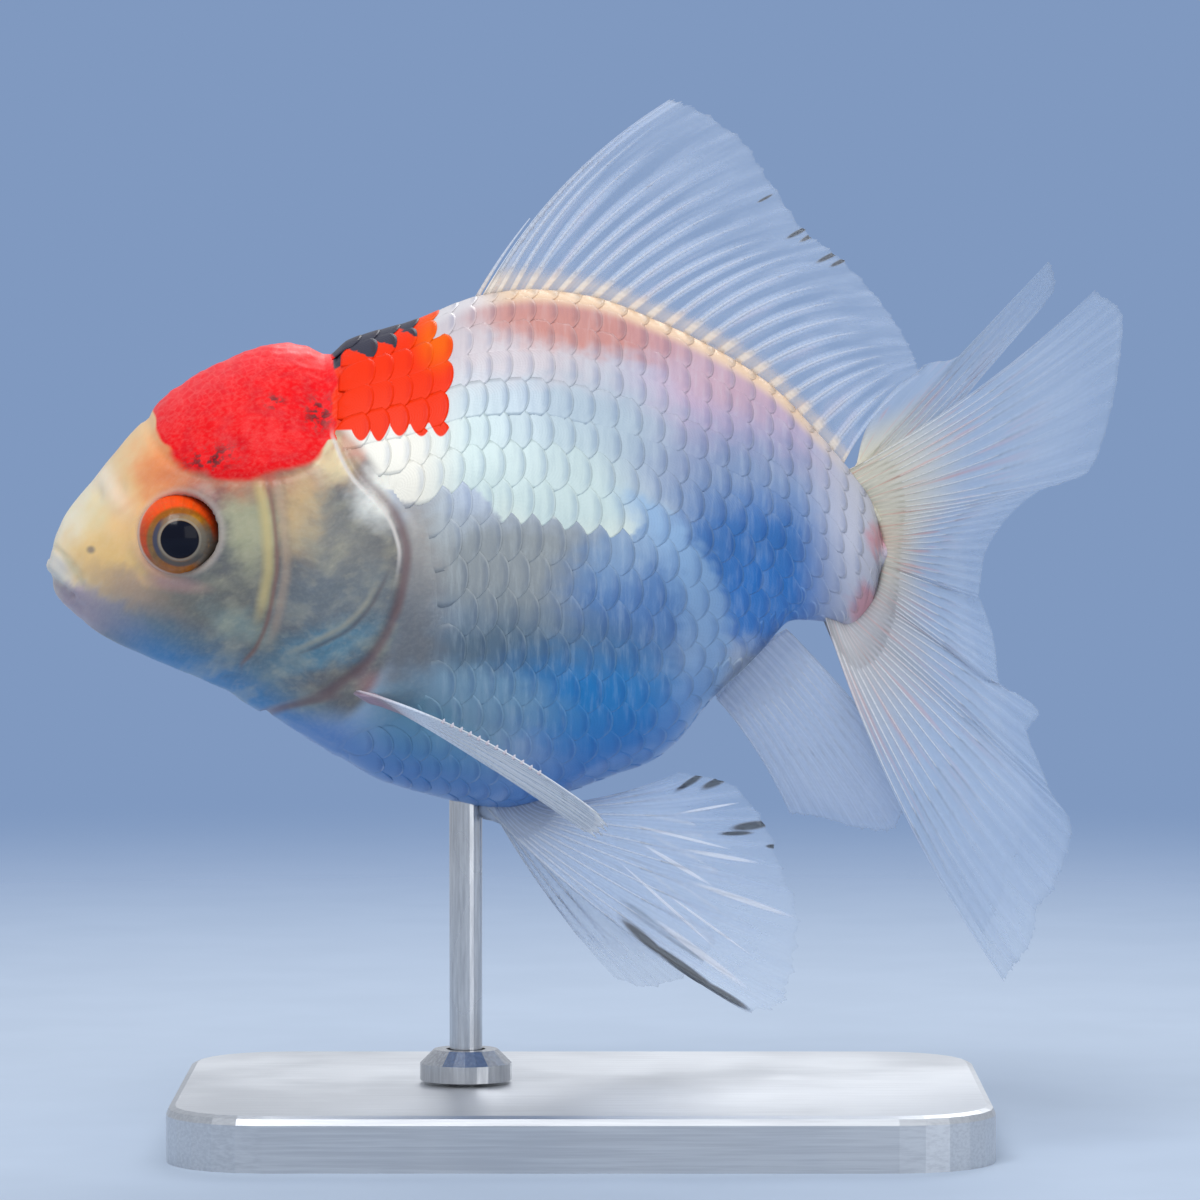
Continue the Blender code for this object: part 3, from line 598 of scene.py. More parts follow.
# Small touches that keep their exact place
TOUCHES = (
    ((206, 203, 199), 0.5, -0.6, 1.5, 1.0, 48, 0.6, 0.8),       # upper lip
    ((168, 166, 140), 1.9, -0.5, 1.7, 0.28, 54, 0.9, 0.5),      # painted shade in the crease behind it
    ((142, 134, 150), 1.2, -2.9, 1.6, 0.32, 46, 0.9, 0.7),      # painted shade along the line of the mouth
    ((126, 118, 116), 3.75, 0.9, 0.36, 0.32, 0, 0.6, 0.75),     # grey fleck
    ((244, 234, 224), 5.6, 6.7, 2.4, 1.1, 57, 1.0, 0.45),       # nostril flap
    ((242, 208, 144), 7.1, 6.9, 1.5, 0.8, 57, 1.0, 0.4),
    ((230, 156, 104), 7.3, 5.2, 1.0, 0.3, -42, 1.0, 0.25),
    ((214, 152, 140), 9.3, -0.4, 1.7, 0.7, 52, 0.9, 0.6),       # pink fold under the eye
    ((206, 158, 150), 11.4, -2.2, 2.3, 0.6, 8, 0.9, 0.6),
    ((150, 112, 116), 30.0, -12.0, 1.9, 1.3, 35, 0.7, 0.8),     # flesh at the pectoral fin's root
)
EYE_SEEN = (12.0, 2.5)
CAP_RED = (252, 8, 20)
PATCH_ORANGE = (254, 52, 0)
SADDLE_BLACK = (62, 62, 76)

# Pink spots on the root of the tail
BLUSHES = (
    ((214, 120, 128), 76.2, 2.0, 1.2, 1.56, 0, 0.6, 0.6),
    ((214, 120, 128), 74.6, -4.4, 1.4, 1.82, 0, 0.6, 0.6),
)

marks, marks_given, marks_put, marks_tree = new_group(
    "fish markings", (("Place", "Vector", None), ("Plate", "Vector", None), ("Over Belly", "Float", 9.0)),
    (("Colour", "Color"), ("Painted", "Float")))
spot, plate_spot, low_down = (marks_given[name] for name in ("Place", "Plate", "Over Belly"))
spot_x, depth, spot_z = marks.parts(spot)
plate_x, _, plate_z = marks.parts(plate_spot)
uneven = marks.add("TexNoise", None, Vector=spot, Scale=0.55, Detail=2.0).outputs["Color"]
wavy = marks.vectors("MULTIPLY_ADD", uneven, (2.4, 0.0, 2.4), spot)
wavy = marks.vectors("SUBTRACT", wavy, (1.2, 0.0, 1.2))
colour = marks.coats(paint(*PEARL), wavy, WASHES)

# the bright band: painted reflection off the silvery scales, with a sharp lower edge that steps from scale to
# scale
band_foot = marks.between(spot_x, 36.5, 47.0, 6.3, 2.6) + marks.between(spot_x, 51.0, 57.5, 0.0, 2.0)
over_foot = (plate_z - spot_z) * 0.6 + spot_z + marks.noise(spot, 1.3) * 0.5 - band_foot
above_foot = marks.between(over_foot, 0.1, 0.5)
band = above_foot * marks.between(over_foot, 12.5, 4.0, 0.0, 0.95)
band = band * marks.between(spot_z * 0.7 + spot_x, 61.0, 54.5)
band_reflection_tone = marks.mix(marks.between(spot_x, 39.0, 33.0), paint(208, 226, 222), paint(244, 240, 226))
colour = marks.mix(band, colour, band_reflection_tone)
# painted highlight along the band's lower edge
glint = above_foot * marks.between(over_foot, 2.2, 0.8) * marks.oval(spot, (49.0, 3.0), (8.0, 4.0), 0, 0.4)
colour = marks.coat(colour, (240, 242, 222), glint * 0.45)
# painted sheen: fine upright light and dark streaks, different on every scale and absent on the bare shoulder
stretched = marks.vectors("MULTIPLY", spot, (1.7, 0.0, 0.28))
brushed = marks.noise(marks.vectors("MULTIPLY_ADD", plate_spot, (2.3, 0.0, 1.9), stretched), 1.0, 3.0, 0.6)
on_scales = marks.between(spot_x, 34.0, 36.5)
for start, end, strength, tone in ((0.45, 0.75, 0.14, (228, 240, 244)), (0.55, 0.25, 0.10, (78, 104, 140))):
    colour = marks.coat(colour, tone, marks.between(brushed, start, end, 0.0, strength) * on_scales)
# pale band down the rear face of the belly
rear_ring = marks.maths("SUBTRACT", marks.oval(wavy, (45.0, -7.0), (17.2, 15.0), 0, 0.05),
                        marks.oval(wavy, (43.0, -7.4), (15.2, 15.0), 0, 0.12), clamp=True)
colour = marks.coat(colour, (150, 186, 222), rear_ring * marks.between(spot_x, 50.0, 54.5) * 0.80)
# the underside fades to blue: partly the fish's own tint, partly painted reflection of blue surroundings
underside = marks.between(low_down, 8.5, 1.0) * marks.between(spot_x, 63.0, 56.0, 0.0, 0.85)
colour = marks.coat(colour, (34, 116, 192), underside)
# cream ridge along the back, whitish stem with pink spots
ridge_tone = marks.mix(marks.between(spot_x, 38.0, 43.0), paint(228, 224, 226), paint(250, 216, 176))
colour = marks.mix(marks.between(depth, 1.7, 0.5, 0.0, 0.9), colour, ridge_tone)
colour = marks.coat(colour, (196, 198, 212), marks.between(spot_x, 67.5, 74.0))
colour = marks.coats(colour, wavy, BLUSHES)

face = marks.coats(paint(*HEAD_WASHES[0][0]), wavy, HEAD_WASHES)
# the throat fades to blue: partly the fish's own tint, partly painted reflection of blue surroundings
under_chin = marks.between(spot_x, 2.5, 11.0)
for start, end, strength, tone in ((6.4, 3.2, 0.6, (98, 136, 160)), (4.2, 0.4, 0.85, (40, 128, 190))):
    face = marks.coat(face, tone, marks.between(low_down, start, end, 0.0, strength) * under_chin)
# mottled skin of the cheek and the gill cover
blotches = marks.noise(spot, 0.34, 2.0, 0.45)
specks = marks.noise(plate_spot, 0.9, 2.0, 0.5)
cheek = marks.between(spot_x, 9.0, 15.0)
for value, start, end, strength, tone in (
        (blotches, 0.46, 0.70, 0.20, (92, 100, 104)), (blotches, 0.54, 0.30, 0.24, (196, 190, 160)),
        (specks, 0.54, 0.72, 0.10, (214, 204, 170)), (specks, 0.46, 0.30, 0.10, (96, 100, 100))):
    face = marks.coat(face, tone, marks.between(value, start, end, 0.0, strength) * cheek)
# pale rim of skin round the eye
from_eye = marks.vectors("SUBTRACT", spot, (EYE_SEEN[0], 0.0, EYE_SEEN[1]))
from_eye = marks.length(marks.vectors("MULTIPLY", from_eye, (1.0, 0.0, 1.0)))
eye_rim = marks.between(from_eye, 3.2, 3.5) * marks.between(from_eye, 4.4, 3.7)
face = marks.coat(face, (228, 210, 196), eye_rim * 0.40)
face = marks.coats(face, spot, TOUCHES)
bare = marks.between(spot_x, 33.2, 32.0) * marks.between(spot_z, -16.0, -13.0).most(
    marks.between(spot_x, 21.0, 17.0))
face_end = marks.oval(spot, (18.2, -1.5), (14.2, 17.0), 0, 0.04).most(marks.between(spot_x, 19.0, 17.0))
colour = marks.mix(bare * face_end, colour, face)

# orange patch behind the cap with lobes along its foot, and a black saddle over its top
# that steps down column by column
patch_end = marks.between((plate_z * 0.25 + plate_x).most(plate_x + 4.1), 40.41, 40.39)
in_column = (spot_x - plate_x - 0.45) * 1.16
lobes = marks.maths("MINIMUM", in_column * in_column, 1.0) + marks.noise(plate_spot, 0.9)
over_patch_foot = spot_z - lobes - marks.between(spot_x, 29.8, 31.2, 10.2, 10.9)
patch = patch_end * marks.between(over_patch_foot, -0.1, 0.1) * marks.between(spot_x, 24.6, 25.2)
patch_tone = marks.mix(marks.oval(spot, (35.4, 20.4), (1.6, 2.4), 0, 0.8), paint(*PATCH_ORANGE),
                       paint(255, 104, 0))
colour = marks.mix(patch, colour, patch_tone)
saddle_foot = marks.between(plate_x, 26.0, 33.0, 17.2, 21.2, "LINEAR")
over_saddle_foot = spot_z - saddle_foot + in_column * 0.3 + marks.noise(spot, 1.2) - 0.5
saddle = marks.between(over_saddle_foot, -0.1, 0.1) * marks.between(plate_x, 33.21, 33.19)
colour = marks.coat(colour, SADDLE_BLACK, saddle * marks.between(spot_x, 24.8, 25.2))

# the red cap
cap_x, cap_z = (marks.maths("POWER", marks.maths("ABSOLUTE", (place - centre) * (1.0 / reach)), CAP_POWER)
                for place, centre, reach in zip((spot_x, spot_z), CAP_CENTRE, CAP_REACH))
cap_edge = cap_x + cap_z + (marks.noise(spot, 0.45, 0.0) - 0.5) * 0.50
cap = marks.between(cap_edge, marks.between(spot_z, 8.4, 11.0, 1.26, 1.06), 0.95)
cap_tone = marks.mix(marks.between(marks.noise(spot, 0.6, 1.0), 0.40, 0.75), paint(*CAP_RED),
                     paint(236, 14, 30))
# the cap's upper front is painted paler pink: a painted highlight on its top
paler = spot_z - spot_x * 0.55
cap_tone = marks.coat(cap_tone, (250, 62, 72), marks.between(paler, 4.0, 10.0, 0.0, 0.6))
cells = marks.add("TexVoronoi", {"feature": "DISTANCE_TO_EDGE"}, Vector=spot, Scale=1.3).outputs["Distance"]
netted = marks.between(cells, 0.14, 0.0) * marks.between(paler, 3.0, 9.0, 0.0, 0.14)
cap_tone = marks.coat(cap_tone, (255, 136, 130), netted)
sooty = marks.oval(spot, (14.8, 9.2), (2.2, 1.0), -14, 0.8)
for centre, reach in (((24.6, 13.4), (1.2, 1.4)), ((20.6, 14.4), (0.8, 0.6))):
    sooty = sooty.most(marks.oval(spot, centre, reach, 0, 0.8))
speckle = marks.between(marks.noise(spot, 1.1, 2.0, 0.6), 0.46, 0.62, 0.0, 0.9)
cap_tone = marks.coat(cap_tone, (70, 16, 30), speckle * sooty)
marks.feed(marks_put["Colour"], marks.mix(cap, colour, cap_tone))
marks.feed(marks_put["Painted"], cap.most(patch))


def new_material(name):
    """A material and its nodes, ready to be filled."""
    material = bpy.data.materials.new(name)
    material.use_nodes = True
    return material, Nodes(material.node_tree)


def use_group(nodes, tree, **inputs):
    """Place a node group in a material with its own values, and give what it puts out."""
    node = nodes.add("Group", {"node_tree": tree})
    for name, value in inputs.items():
        nodes.feed(node.inputs[name.replace("_", " ")], value)
    return {socket.name: Level(nodes, socket) for socket in node.outputs}


# Fine unevenness that every varnished piece of the fish shares
grain, grain_given, grain_put, grain_tree = new_group(
    "fine grain", (("Place", "Vector", None), ("Size", "Float", 4.0), ("Depth", "Float", 0.2)),
    (("Height", "Float"), ("Tone", "Float")))
coarse = grain.noise(grain_given["Place"], grain_given["Size"], 4.0, 0.6)
pores = grain.add("TexVoronoi", None, Vector=grain_given["Place"], Scale=grain_given["Size"] * 2.3)
pored = coarse + Level(grain, pores.outputs["Distance"]) * 0.5
grain.feed(grain_put["Height"], pored * grain_given["Depth"])
grain.feed(grain_put["Tone"], coarse)

# Painted shade and painted highlights along the folds, dark in the creases and behind the edges, pale along
# the edges: (which line, from, to, softness, colour, strength, faint and full z), the distances being behind
# the line
CHEEK, PLATE, RIM = range(3)
FOLD_SHADE_AND_HIGHLIGHTS = (
    (CHEEK, -1.2, -0.2, 0.45, (212, 192, 132), 0.7, -7.0, -3.0),
    (CHEEK, -0.1, 0.25, 0.2, (150, 112, 100), 0.7, -12.0, -9.0),
    (CHEEK, 0.5, 1.3, 0.4, (190, 166, 144), 0.5, -9.0, -5.0),
    (PLATE, -0.5, 0.0, 0.25, (178, 172, 150), 0.5, -1.0, -4.0),
    (PLATE, 0.1, 0.4, 0.2, (104, 92, 92), 0.5, 0.0, -3.0),
    (RIM, -0.35, 0.0, 0.15, (226, 220, 214), 0.8, -3.0, 2.0),
    (RIM, 0.1, 0.9, 0.35, (122, 96, 98), 0.7, 12.0, 4.0),
)
skin_paint, on_skin = new_material("varnished skin")
skin_spot = on_skin.noted("spot")
skin_marks = use_group(on_skin, marks_tree, Place=skin_spot, Plate=skin_spot,
                       Over_Belly=on_skin.noted("over belly", "Fac"))
skin_grain = use_group(on_skin, grain_tree, Place=skin_spot, Size=2.2, Depth=0.35)
skin_colour = on_skin.coat(skin_marks["Colour"], (250, 244, 226),
                           on_skin.between(skin_grain["Tone"], 0.35, 0.75, 0.0, 0.05))
fold_distances, fold_reaches = (on_skin.parts(on_skin.noted(name))
                                for name in ("fold distance", "fold reach"))
skin_z = on_skin.parts(skin_spot)[2]
for line, start, end, soft, tone, strength, faint_z, full_z in FOLD_SHADE_AND_HIGHLIGHTS:
    on_line = on_skin.hoop(fold_distances[line], start, end, soft) * fold_reaches[line]
    skin_colour = on_skin.coat(skin_colour, tone,
                               on_line * on_skin.between(skin_z, faint_z, full_z, 0.0, strength))
on_skin.finish(
    Base_Color=skin_colour, Roughness=on_skin.between(skin_grain["Tone"], 0.3, 0.8, 0.36, 0.52),
    Coat_Weight=on_skin.between(skin_marks["Painted"], 0.0, 1.0, 0.30, 0.02),
    Normal=on_skin.bump(skin_grain["Height"], 0.07, 0.25), Specular_IOR_Level=0.14, Coat_Roughness=0.25,
    Subsurface_Weight=0.08, Subsurface_Radius=(0.0012, 0.0006, 0.0004), Subsurface_Scale=1.0)
skin.data.materials.append(skin_paint)
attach(skin, "root")
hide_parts("head", "lower_jaw", "head_cap", "gill_cover_left", "gill_cover_right",
            "trunk", "tail_stem")

# ======== The scales ========
# Thin round-edged plates of bone under clear skin, each rooted in front and lying over
# the next one behind, in rows along the body. Every plate is closed, curved to the body
# and set into the skin at its root, with its free edge standing clear.

SCALE_PITCH = ((24.0, 1.72), (40.0, 1.82), (50.0, 2.04), (60.0, 1.94), (70.0, 1.66), (76.1, 1.50))
SCALE_ROW = ((24.0, 3.00), (48.0, 3.40), (58.0, 3.00), (66.0, 2.50), (76.1, 2.05))
SCALE_LENGTH = 2.00                       # in pitches, root to free edge
SCALE_WIDTH = (1.20, 1.55)                # in row heights, on the back and on the belly
SCALE_THICKNESS = 0.03
SCALE_LIFT = 0.115                        # free edge over the skin
SCALE_GRID = (12, 10)                     # faces along and across one scale
SCALE_ROWS = 24                           # rows on one side
SCALES_END = 75.2
SCALES_PART = 46.0                        # the front and rear pieces of a side part here
PATCH_SIZE = 0.003                        # a scale's patch on the unwrap
HANDS = (("left", -1), ("right", 1))

column_x = np.linspace(20.0, TAIL_END, 1200)
column_run = np.concatenate(((0.0,), np.cumsum(np.diff(column_x) / read(SCALE_PITCH, column_x[:-1]))))


def scale_roots():
    """Where each scale of one side is rooted: (x, distance from the back, low, chance).

    On the back the free edges stand in upright lines; low down the rows interlock."""
    draw = np.random.default_rng(11)
    roots = []
    for row in range(SCALE_ROWS):
        low = float(fade(np.array(row), 4.0, 7.0))
        offset = 1.0 - 0.09 * row + 0.5 * low * (row % 2) + draw.uniform(-0.05, 0.05)
        for number in np.arange(0.0, column_run[-1], 1.0):
            x = float(np.interp(number + offset, column_run, column_x))
            down = (row + 0.35) * float(read(SCALE_ROW, x))
            girth = float(np.interp(x, girth_x, HALF_GIRTH))
            if down > girth - 0.1 * float(read(SCALE_ROW, x)) or x > SCALES_END:
                continue
            angle = float(angle_at(np.array(x), np.array(down / girth)))
            _, y, z = round_body(np.array(x), np.array(angle))
            if scaled(*seen(x + 0.9, y, z)) < 0.5:
                continue
            roots.append((x + draw.uniform(-0.06, 0.06), down, low, draw.uniform()))
    return np.array(roots)


def scale_sheets(roots, side):
    """All the plates of one side as grids of points: top faces, then under faces."""
    along = np.linspace(0.0, 1.0, SCALE_GRID[0] + 1)[:, None]
    across = np.linspace(-1.0, 1.0, SCALE_GRID[1] + 1)[None, :]
    low = roots[:, 2][:, None, None]
    reach = 1.0 - (1.0 + low) * (0.13 * across ** 2 + 0.10 * across ** 4)
    swell = np.sin(0.5 * math.pi * np.clip(0.25 + 1.15 * along, 0.0, 1.0)) ** 0.8
    x0, down0 = roots[:, 0][:, None, None], roots[:, 1][:, None, None]
    length = SCALE_LENGTH * read(SCALE_PITCH, roots[:, 0])[:, None, None]
    width = 0.5 * (SCALE_WIDTH[0] + (SCALE_WIDTH[1] - SCALE_WIDTH[0]) * low)
    width = width * read(SCALE_ROW, roots[:, 0])[:, None, None]
    x = x0 + length * along * reach
    row_share = down0 / read(SCALE_ROW, roots[:, 0])[:, None, None]
    down = row_share * read(SCALE_ROW, x) + width * across * swell
    girth = np.interp(x, girth_x, HALF_GIRTH)
    angle = side * angle_at(x, down / girth)
    base = round_body(x, angle)
    normal = outward(np.clip(x, 0.03, TAIL_END - 0.03), angle)
    crown = 0.02 * (1.0 - across ** 2) * np.sin(math.pi * np.clip(along, 0.0, 1.0))
    height = -COAT_DEPTH - 0.02 + SCALE_LIFT * along * reach + crown
    height = height * fade(x, TAIL_END + 0.5, 74.5)
    thin = SCALE_THICKNESS * (1.0 - 0.45 * along)
    spot_x = x0 + 0.62 * length
    spot_share = row_share * read(SCALE_ROW, spot_x) / np.interp(spot_x, girth_x, HALF_GIRTH)
    spots = np.broadcast_to(spot_of(round_body(spot_x, angle_at(spot_x, spot_share))), base.shape)
    facts = np.stack(np.broadcast_arrays(along, across, roots[:, 3][:, None, None] + 0.0 * x), axis=-1)
    place = unwrapped(x0, side * down0 / np.interp(x0, girth_x, HALF_GIRTH))
    patches = place + PATCH_SIZE * np.stack(np.broadcast_arrays(along - 0.5, 0.5 * across), axis=-1)
    return (base + normal * height[..., None], base + normal * (height - thin)[..., None],
            spots, facts, patches, spot_of(base), over_belly(base)[..., None])


def sheet_faces(rows, columns):
    """Faces of a closed thin sheet: its top points, then as many under them, and its rim."""
    cells = ring_quads(rows, columns, closed=False)
    size = rows * columns
    rim = np.concatenate((np.arange(columns), np.arange(2, rows + 1) * columns - 1,
                          size - 2 - np.arange(columns - 1), np.arange(rows - 2, 0, -1) * columns))
    beyond = np.roll(rim, -1)
    rim_quads = np.stack((rim, beyond, beyond + size, rim + size), axis=-1)
    return np.concatenate((cells, cells[:, ::-1] + size, rim_quads))


def plates_mesh(name, sheets, side):
    """Join closed plates into one mesh."""
    top, under, spots, facts, patches, places, heights = sheets
    plates, rows, columns = top.shape[:3]
    size = rows * columns
    one = sheet_faces(rows, columns)
    if side < 0:
        one = one[:, ::-1]
    quads = (np.arange(plates)[:, None, None] * 2 * size + one[None]).reshape(-1, 4)

    def both(upper, lower):
        """A plate's upper points, then its lower ones, plate after plate."""
        return np.stack([part.reshape(plates, size, -1) for part in (upper, lower)], axis=1).reshape(
            plates * 2 * size, -1)

    piece = new_mesh(name, both(top, under), quads)
    note(piece, "spot", both(spots, spots))
    note(piece, "place", both(places, places))
    note(piece, "over belly", both(heights, heights)[:, 0])
    note(piece, "plate", both(facts, facts))
    lay_out(piece, "OFBake", both(patches, patches))
    return piece


scale_paint, on_scale = new_material("pearly scales")
scale_spot = on_scale.noted("spot")
plate_along, plate_across, plate_chance = on_scale.parts(on_scale.noted("plate"))
scale_marks = use_group(on_scale, marks_tree, Place=on_scale.noted("place"), Plate=scale_spot,
                        Over_Belly=on_scale.noted("over belly", "Fac"))
unpainted = on_scale.maths("SUBTRACT", 1.0, scale_marks["Painted"])
# growth rings and rays of each plate
from_root = on_scale.length(on_scale.joined(plate_along - 0.35, plate_across * 0.42))
rings = on_scale.maths("SINE", from_root * 95.0)
spokes = on_scale.maths("SINE", on_scale.maths("ARCTAN2", plate_across * 0.5, plate_along - 0.2) * 42.0)
# each plate a little lighter or darker, with a painted highlight on its pale free edge and a painted shade
# crescent before it
edge_light = on_scale.between(plate_along, 0.955, 0.98, 0.0, 0.80) * on_scale.between(
    on_scale.parts(scale_spot)[2], -13.0, 0.0, 0.35, 1.0)
light = on_scale.maths("ADD", edge_light, plate_chance * 0.26 - 0.02, clamp=True)
lit = on_scale.mix(light, scale_marks["Colour"], paint(76, 84, 90), "SCREEN")
lit = on_scale.mix(unpainted, scale_marks["Colour"], lit)
crescent = on_scale.between(plate_along, 0.76, 0.93) * on_scale.between(plate_along, 0.965, 0.95)
crescent = crescent * on_scale.between(on_scale.maths("ABSOLUTE", plate_across), 0.75, 0.25)
shade = on_scale.mix(unpainted, paint(226, 120, 60), paint(138, 160, 200))
scale_grain = use_group(on_scale, grain_tree, Place=scale_spot, Size=1.1, Depth=0.2)
on_scale.finish(
    Base_Color=on_scale.mix(crescent * 0.32, lit, on_scale.mix(1.0, lit, shade, "MULTIPLY")),
    Roughness=on_scale.between(scale_grain["Tone"], 0.3, 0.8, 0.34, 0.50), Metallic=unpainted * 0.05,
    Normal=on_scale.bump(rings * 0.5 + spokes * 0.35, 0.30, 0.02), Coat_Weight=unpainted * 0.28,
    Specular_IOR_Level=0.16, Coat_Roughness=0.22)

all_roots = scale_roots()
for hand, side in HANDS:
    in_front = all_roots[:, 0] < SCALES_PART
    for part, chosen in (("front", in_front), ("rear", ~in_front)):
        scales = plates_mesh("scales_%s_%s" % (part, hand), scale_sheets(all_roots[chosen], side), side)
        scales.data.materials.append(scale_paint)
        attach(scales, "root")
print("scales on one side:", len(all_roots))

# ======== The eyes ========
# Glass taxidermy eyes: a round ball set deep in each socket, with a dark pupil and a
# bronze iris lit orange at its upper rim, under a clear bulging front.

EYE_RINGS = 72
EYE_AROUND = 96
PUPIL_RADIUS = 1.72
IRIS_RADIUS = 3.70
PUPIL_MIDDLE = (0.35, -0.36)              # the pupil looks a little down and back
IRIS_MIDDLE = (0.28, 0.13)
CORNEA = 0.28                             # how far the clear front bulges past the ball


def eyeball(name, side):
    """A ball whose front bulges a little, with its poles to the sides."""
    polar = np.linspace(0.0, math.pi, EYE_RINGS + 1)[1:-1]
    turn = np.linspace(0.0, 2.0 * math.pi, EYE_AROUND, endpoint=False)
    polar_grid, turn_grid = np.meshgrid(polar, turn, indexing="ij")
    radius = EYE_RADIUS + CORNEA * fade(polar_grid, 1.05, 0.0)
    points = np.stack((radius * np.sin(polar_grid) * np.cos(turn_grid), side * radius * np.cos(polar_grid),
                       radius * np.sin(polar_grid) * np.sin(turn_grid)), axis=-1).reshape(-1, 3)
    poles = ((0.0, side * (EYE_RADIUS + CORNEA), 0.0), (0.0, -side * EYE_RADIUS, 0.0))
    points = np.concatenate((points, poles))
    quads, fans = ring_quads(len(polar), EYE_AROUND), end_fans(len(polar), EYE_AROUND)
    if side > 0:
        quads, fans = quads[:, ::-1], fans[:, ::-1]
    piece = new_mesh(name, points + (EYE_X, side * EYE_Y, EYE_Z), quads, fans)
    note(piece, "ball", points * (1.0, side, 1.0))
    return piece


eye_paint, on_eye = new_material("glass eye")
ball_place = on_eye.noted("ball")
ball_x, _, ball_z = on_eye.parts(ball_place)


def away_from(x, z):
    """The way from a place on the face of the eye."""
    return on_eye.joined(ball_x - x, ball_z - z)


from_middle = on_eye.length(away_from(*IRIS_MIDDLE))
from_low = on_eye.length(away_from(IRIS_MIDDLE[0], IRIS_MIDDLE[1] - 0.55))
pupil_way = away_from(*PUPIL_MIDDLE)
from_pupil = on_eye.length(pupil_way)
fibres = on_eye.noise(on_eye.vectors("NORMALIZE", pupil_way), 6.0, 5.0)
flecks = on_eye.noise(ball_place, 3.0, 3.0, 0.7)
# Tints of the iris, in rows as in WASHES
IRIS_TINTS = (
    ((160, 92, 20), 0.3, 2.4, 3.8, 1.9, 0, 0.45, 1.0), ((172, 96, 28), 0.4, -3.0, 2.6, 1.1, 0, 0.45, 0.9),
    ((206, 150, 36), 1.2, 1.2, 1.0, 0.6, 0, 0.45, 0.8), ((112, 106, 98), 2.7, -1.4, 1.3, 2.0, 0, 0.45, 0.95),
)
iris = on_eye.coats(paint(140, 104, 60), ball_place, IRIS_TINTS)
upper = on_eye.between(from_low, 2.80, 3.15) * on_eye.between(ball_z - ball_x * 0.35, -2.2, -0.4)
iris = on_eye.mix(upper, iris, on_eye.mix(on_eye.between(ball_z, 0.4, 2.4), paint(206, 70, 20),
                                          paint(255, 84, 18)))
iris = on_eye.coat(iris, (78, 48, 24), on_eye.between(fibres, 0.42, 0.68, 0.0, 0.22))
iris = on_eye.coat(iris, (196, 140, 60), on_eye.between(flecks, 0.50, 0.72, 0.0, 0.25))
# halos round the pupil, the second one darker in front and below
iris = on_eye.coat(iris, (128, 122, 108),
                   on_eye.hoop(from_pupil, PUPIL_RADIUS, PUPIL_RADIUS + 0.62, 0.12) * 0.6)
halo = on_eye.hoop(from_pupil, PUPIL_RADIUS + 0.3, PUPIL_RADIUS + 0.75, 0.1)
iris = on_eye.coat(iris, (48, 62, 92), halo * on_eye.between(ball_x, -0.9, -1.6) * 0.8)
iris = on_eye.coat(iris, (80, 80, 80), halo * on_eye.between(ball_z, -1.2, -2.0) * 0.8)
iris = on_eye.coat(iris, (156, 148, 134),
                   on_eye.hoop(from_pupil, PUPIL_RADIUS, PUPIL_RADIUS + 0.2, 0.06) * 0.6)
eye_colour = on_eye.coat(iris, (2, 6, 26),
                         on_eye.between(from_pupil, PUPIL_RADIUS + 0.05, PUPIL_RADIUS - 0.05))
eye_colour = on_eye.coat(eye_colour, (206, 176, 164),
                         on_eye.between(from_middle, IRIS_RADIUS - 0.14, IRIS_RADIUS + 0.1))
on_eye.finish(Base_Color=eye_colour, Roughness=on_eye.between(fibres, 0.3, 0.7, 0.10, 0.25),
              Specular_IOR_Level=0.15, Coat_Weight=0.12, Coat_Roughness=0.02)
for hand, side in HANDS:
    eye = eyeball("glass_eye_" + hand, side)
    eye.data.materials.append(eye_paint)
    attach(eye, "root")
    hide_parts("eye_" + hand)

# ======== The fins ========
# Clear webs of skin on bony rays that fork towards the margin. The webs are thin cast
# sheets; the rays are fine tapering rods let into both faces, jointed like bamboo.

# One row a guide ray: (root x, root z, tip x, tip y, tip z, bow, cup)
DORSAL_RAYS = (
    (40.2, 25.2, 56.9, 0.3, 42.1, 1.5, 0.0), (43.0, 25.5, 58.9, 0.5, 41.4, 1.7, 0.2),
    (46.4, 25.3, 63.6, 0.7, 38.2, 1.3, 0.3), (50.0, 24.8, 66.1, 0.6, 34.4, 1.1, 0.4),
    (54.0, 23.3, 69.2, 0.2, 30.0, 1.1, 0.3), (58.2, 21.5, 72.1, -0.4, 27.8, 1.1, 0.0),
    (62.4, 19.4, 76.0, -0.8, 23.6, 1.1, -0.3), (67.0, 15.9, 78.7, -0.8, 19.4, 0.9, -0.4),
    (72.9, 9.4, 79.6, -0.5, 16.9, 0.6, -0.2),
)
PECTORAL_RAYS = (
    (29.7, -11.7, 50.3, 23.0, -21.6, 1.1, 1.0), (30.9, -12.5, 51.0, 19.6, -22.9, 0.9, 0.8),
    (31.9, -13.0, 50.0, 16.2, -24.2, 0.4, 0.6), (32.8, -13.4, 45.8, 13.6, -21.4, 0.1, 0.4),
    (33.6, -13.7, 41.3, 12.9, -18.6, 0.0, 0.2),
)
PECTORAL_RIGHT_LIFT = (-3.0, 5.5)
PELVIC_RAYS_LEFT = (
    (40.6, -23.2, 63.6, 15.0, -40.0, -1.0, 1.0), (41.2, -23.3, 66.6, 15.0, -39.3, -0.8, 1.2),
    (41.9, -23.3, 67.9, 14.6, -35.5, -0.6, 1.4), (42.6, -23.2, 68.3, 14.0, -31.6, -0.4, 1.5),
    (43.3, -23.1, 66.9, 13.0, -27.5, -0.3, 1.4), (44.0, -22.9, 65.3, 11.8, -23.3, -0.2, 1.2),
    (44.8, -22.7, 61.7, 9.6, -19.6, -0.3, 0.8), (45.6, -22.5, 57.6, 7.2, -19.0, -0.4, 0.4),
)
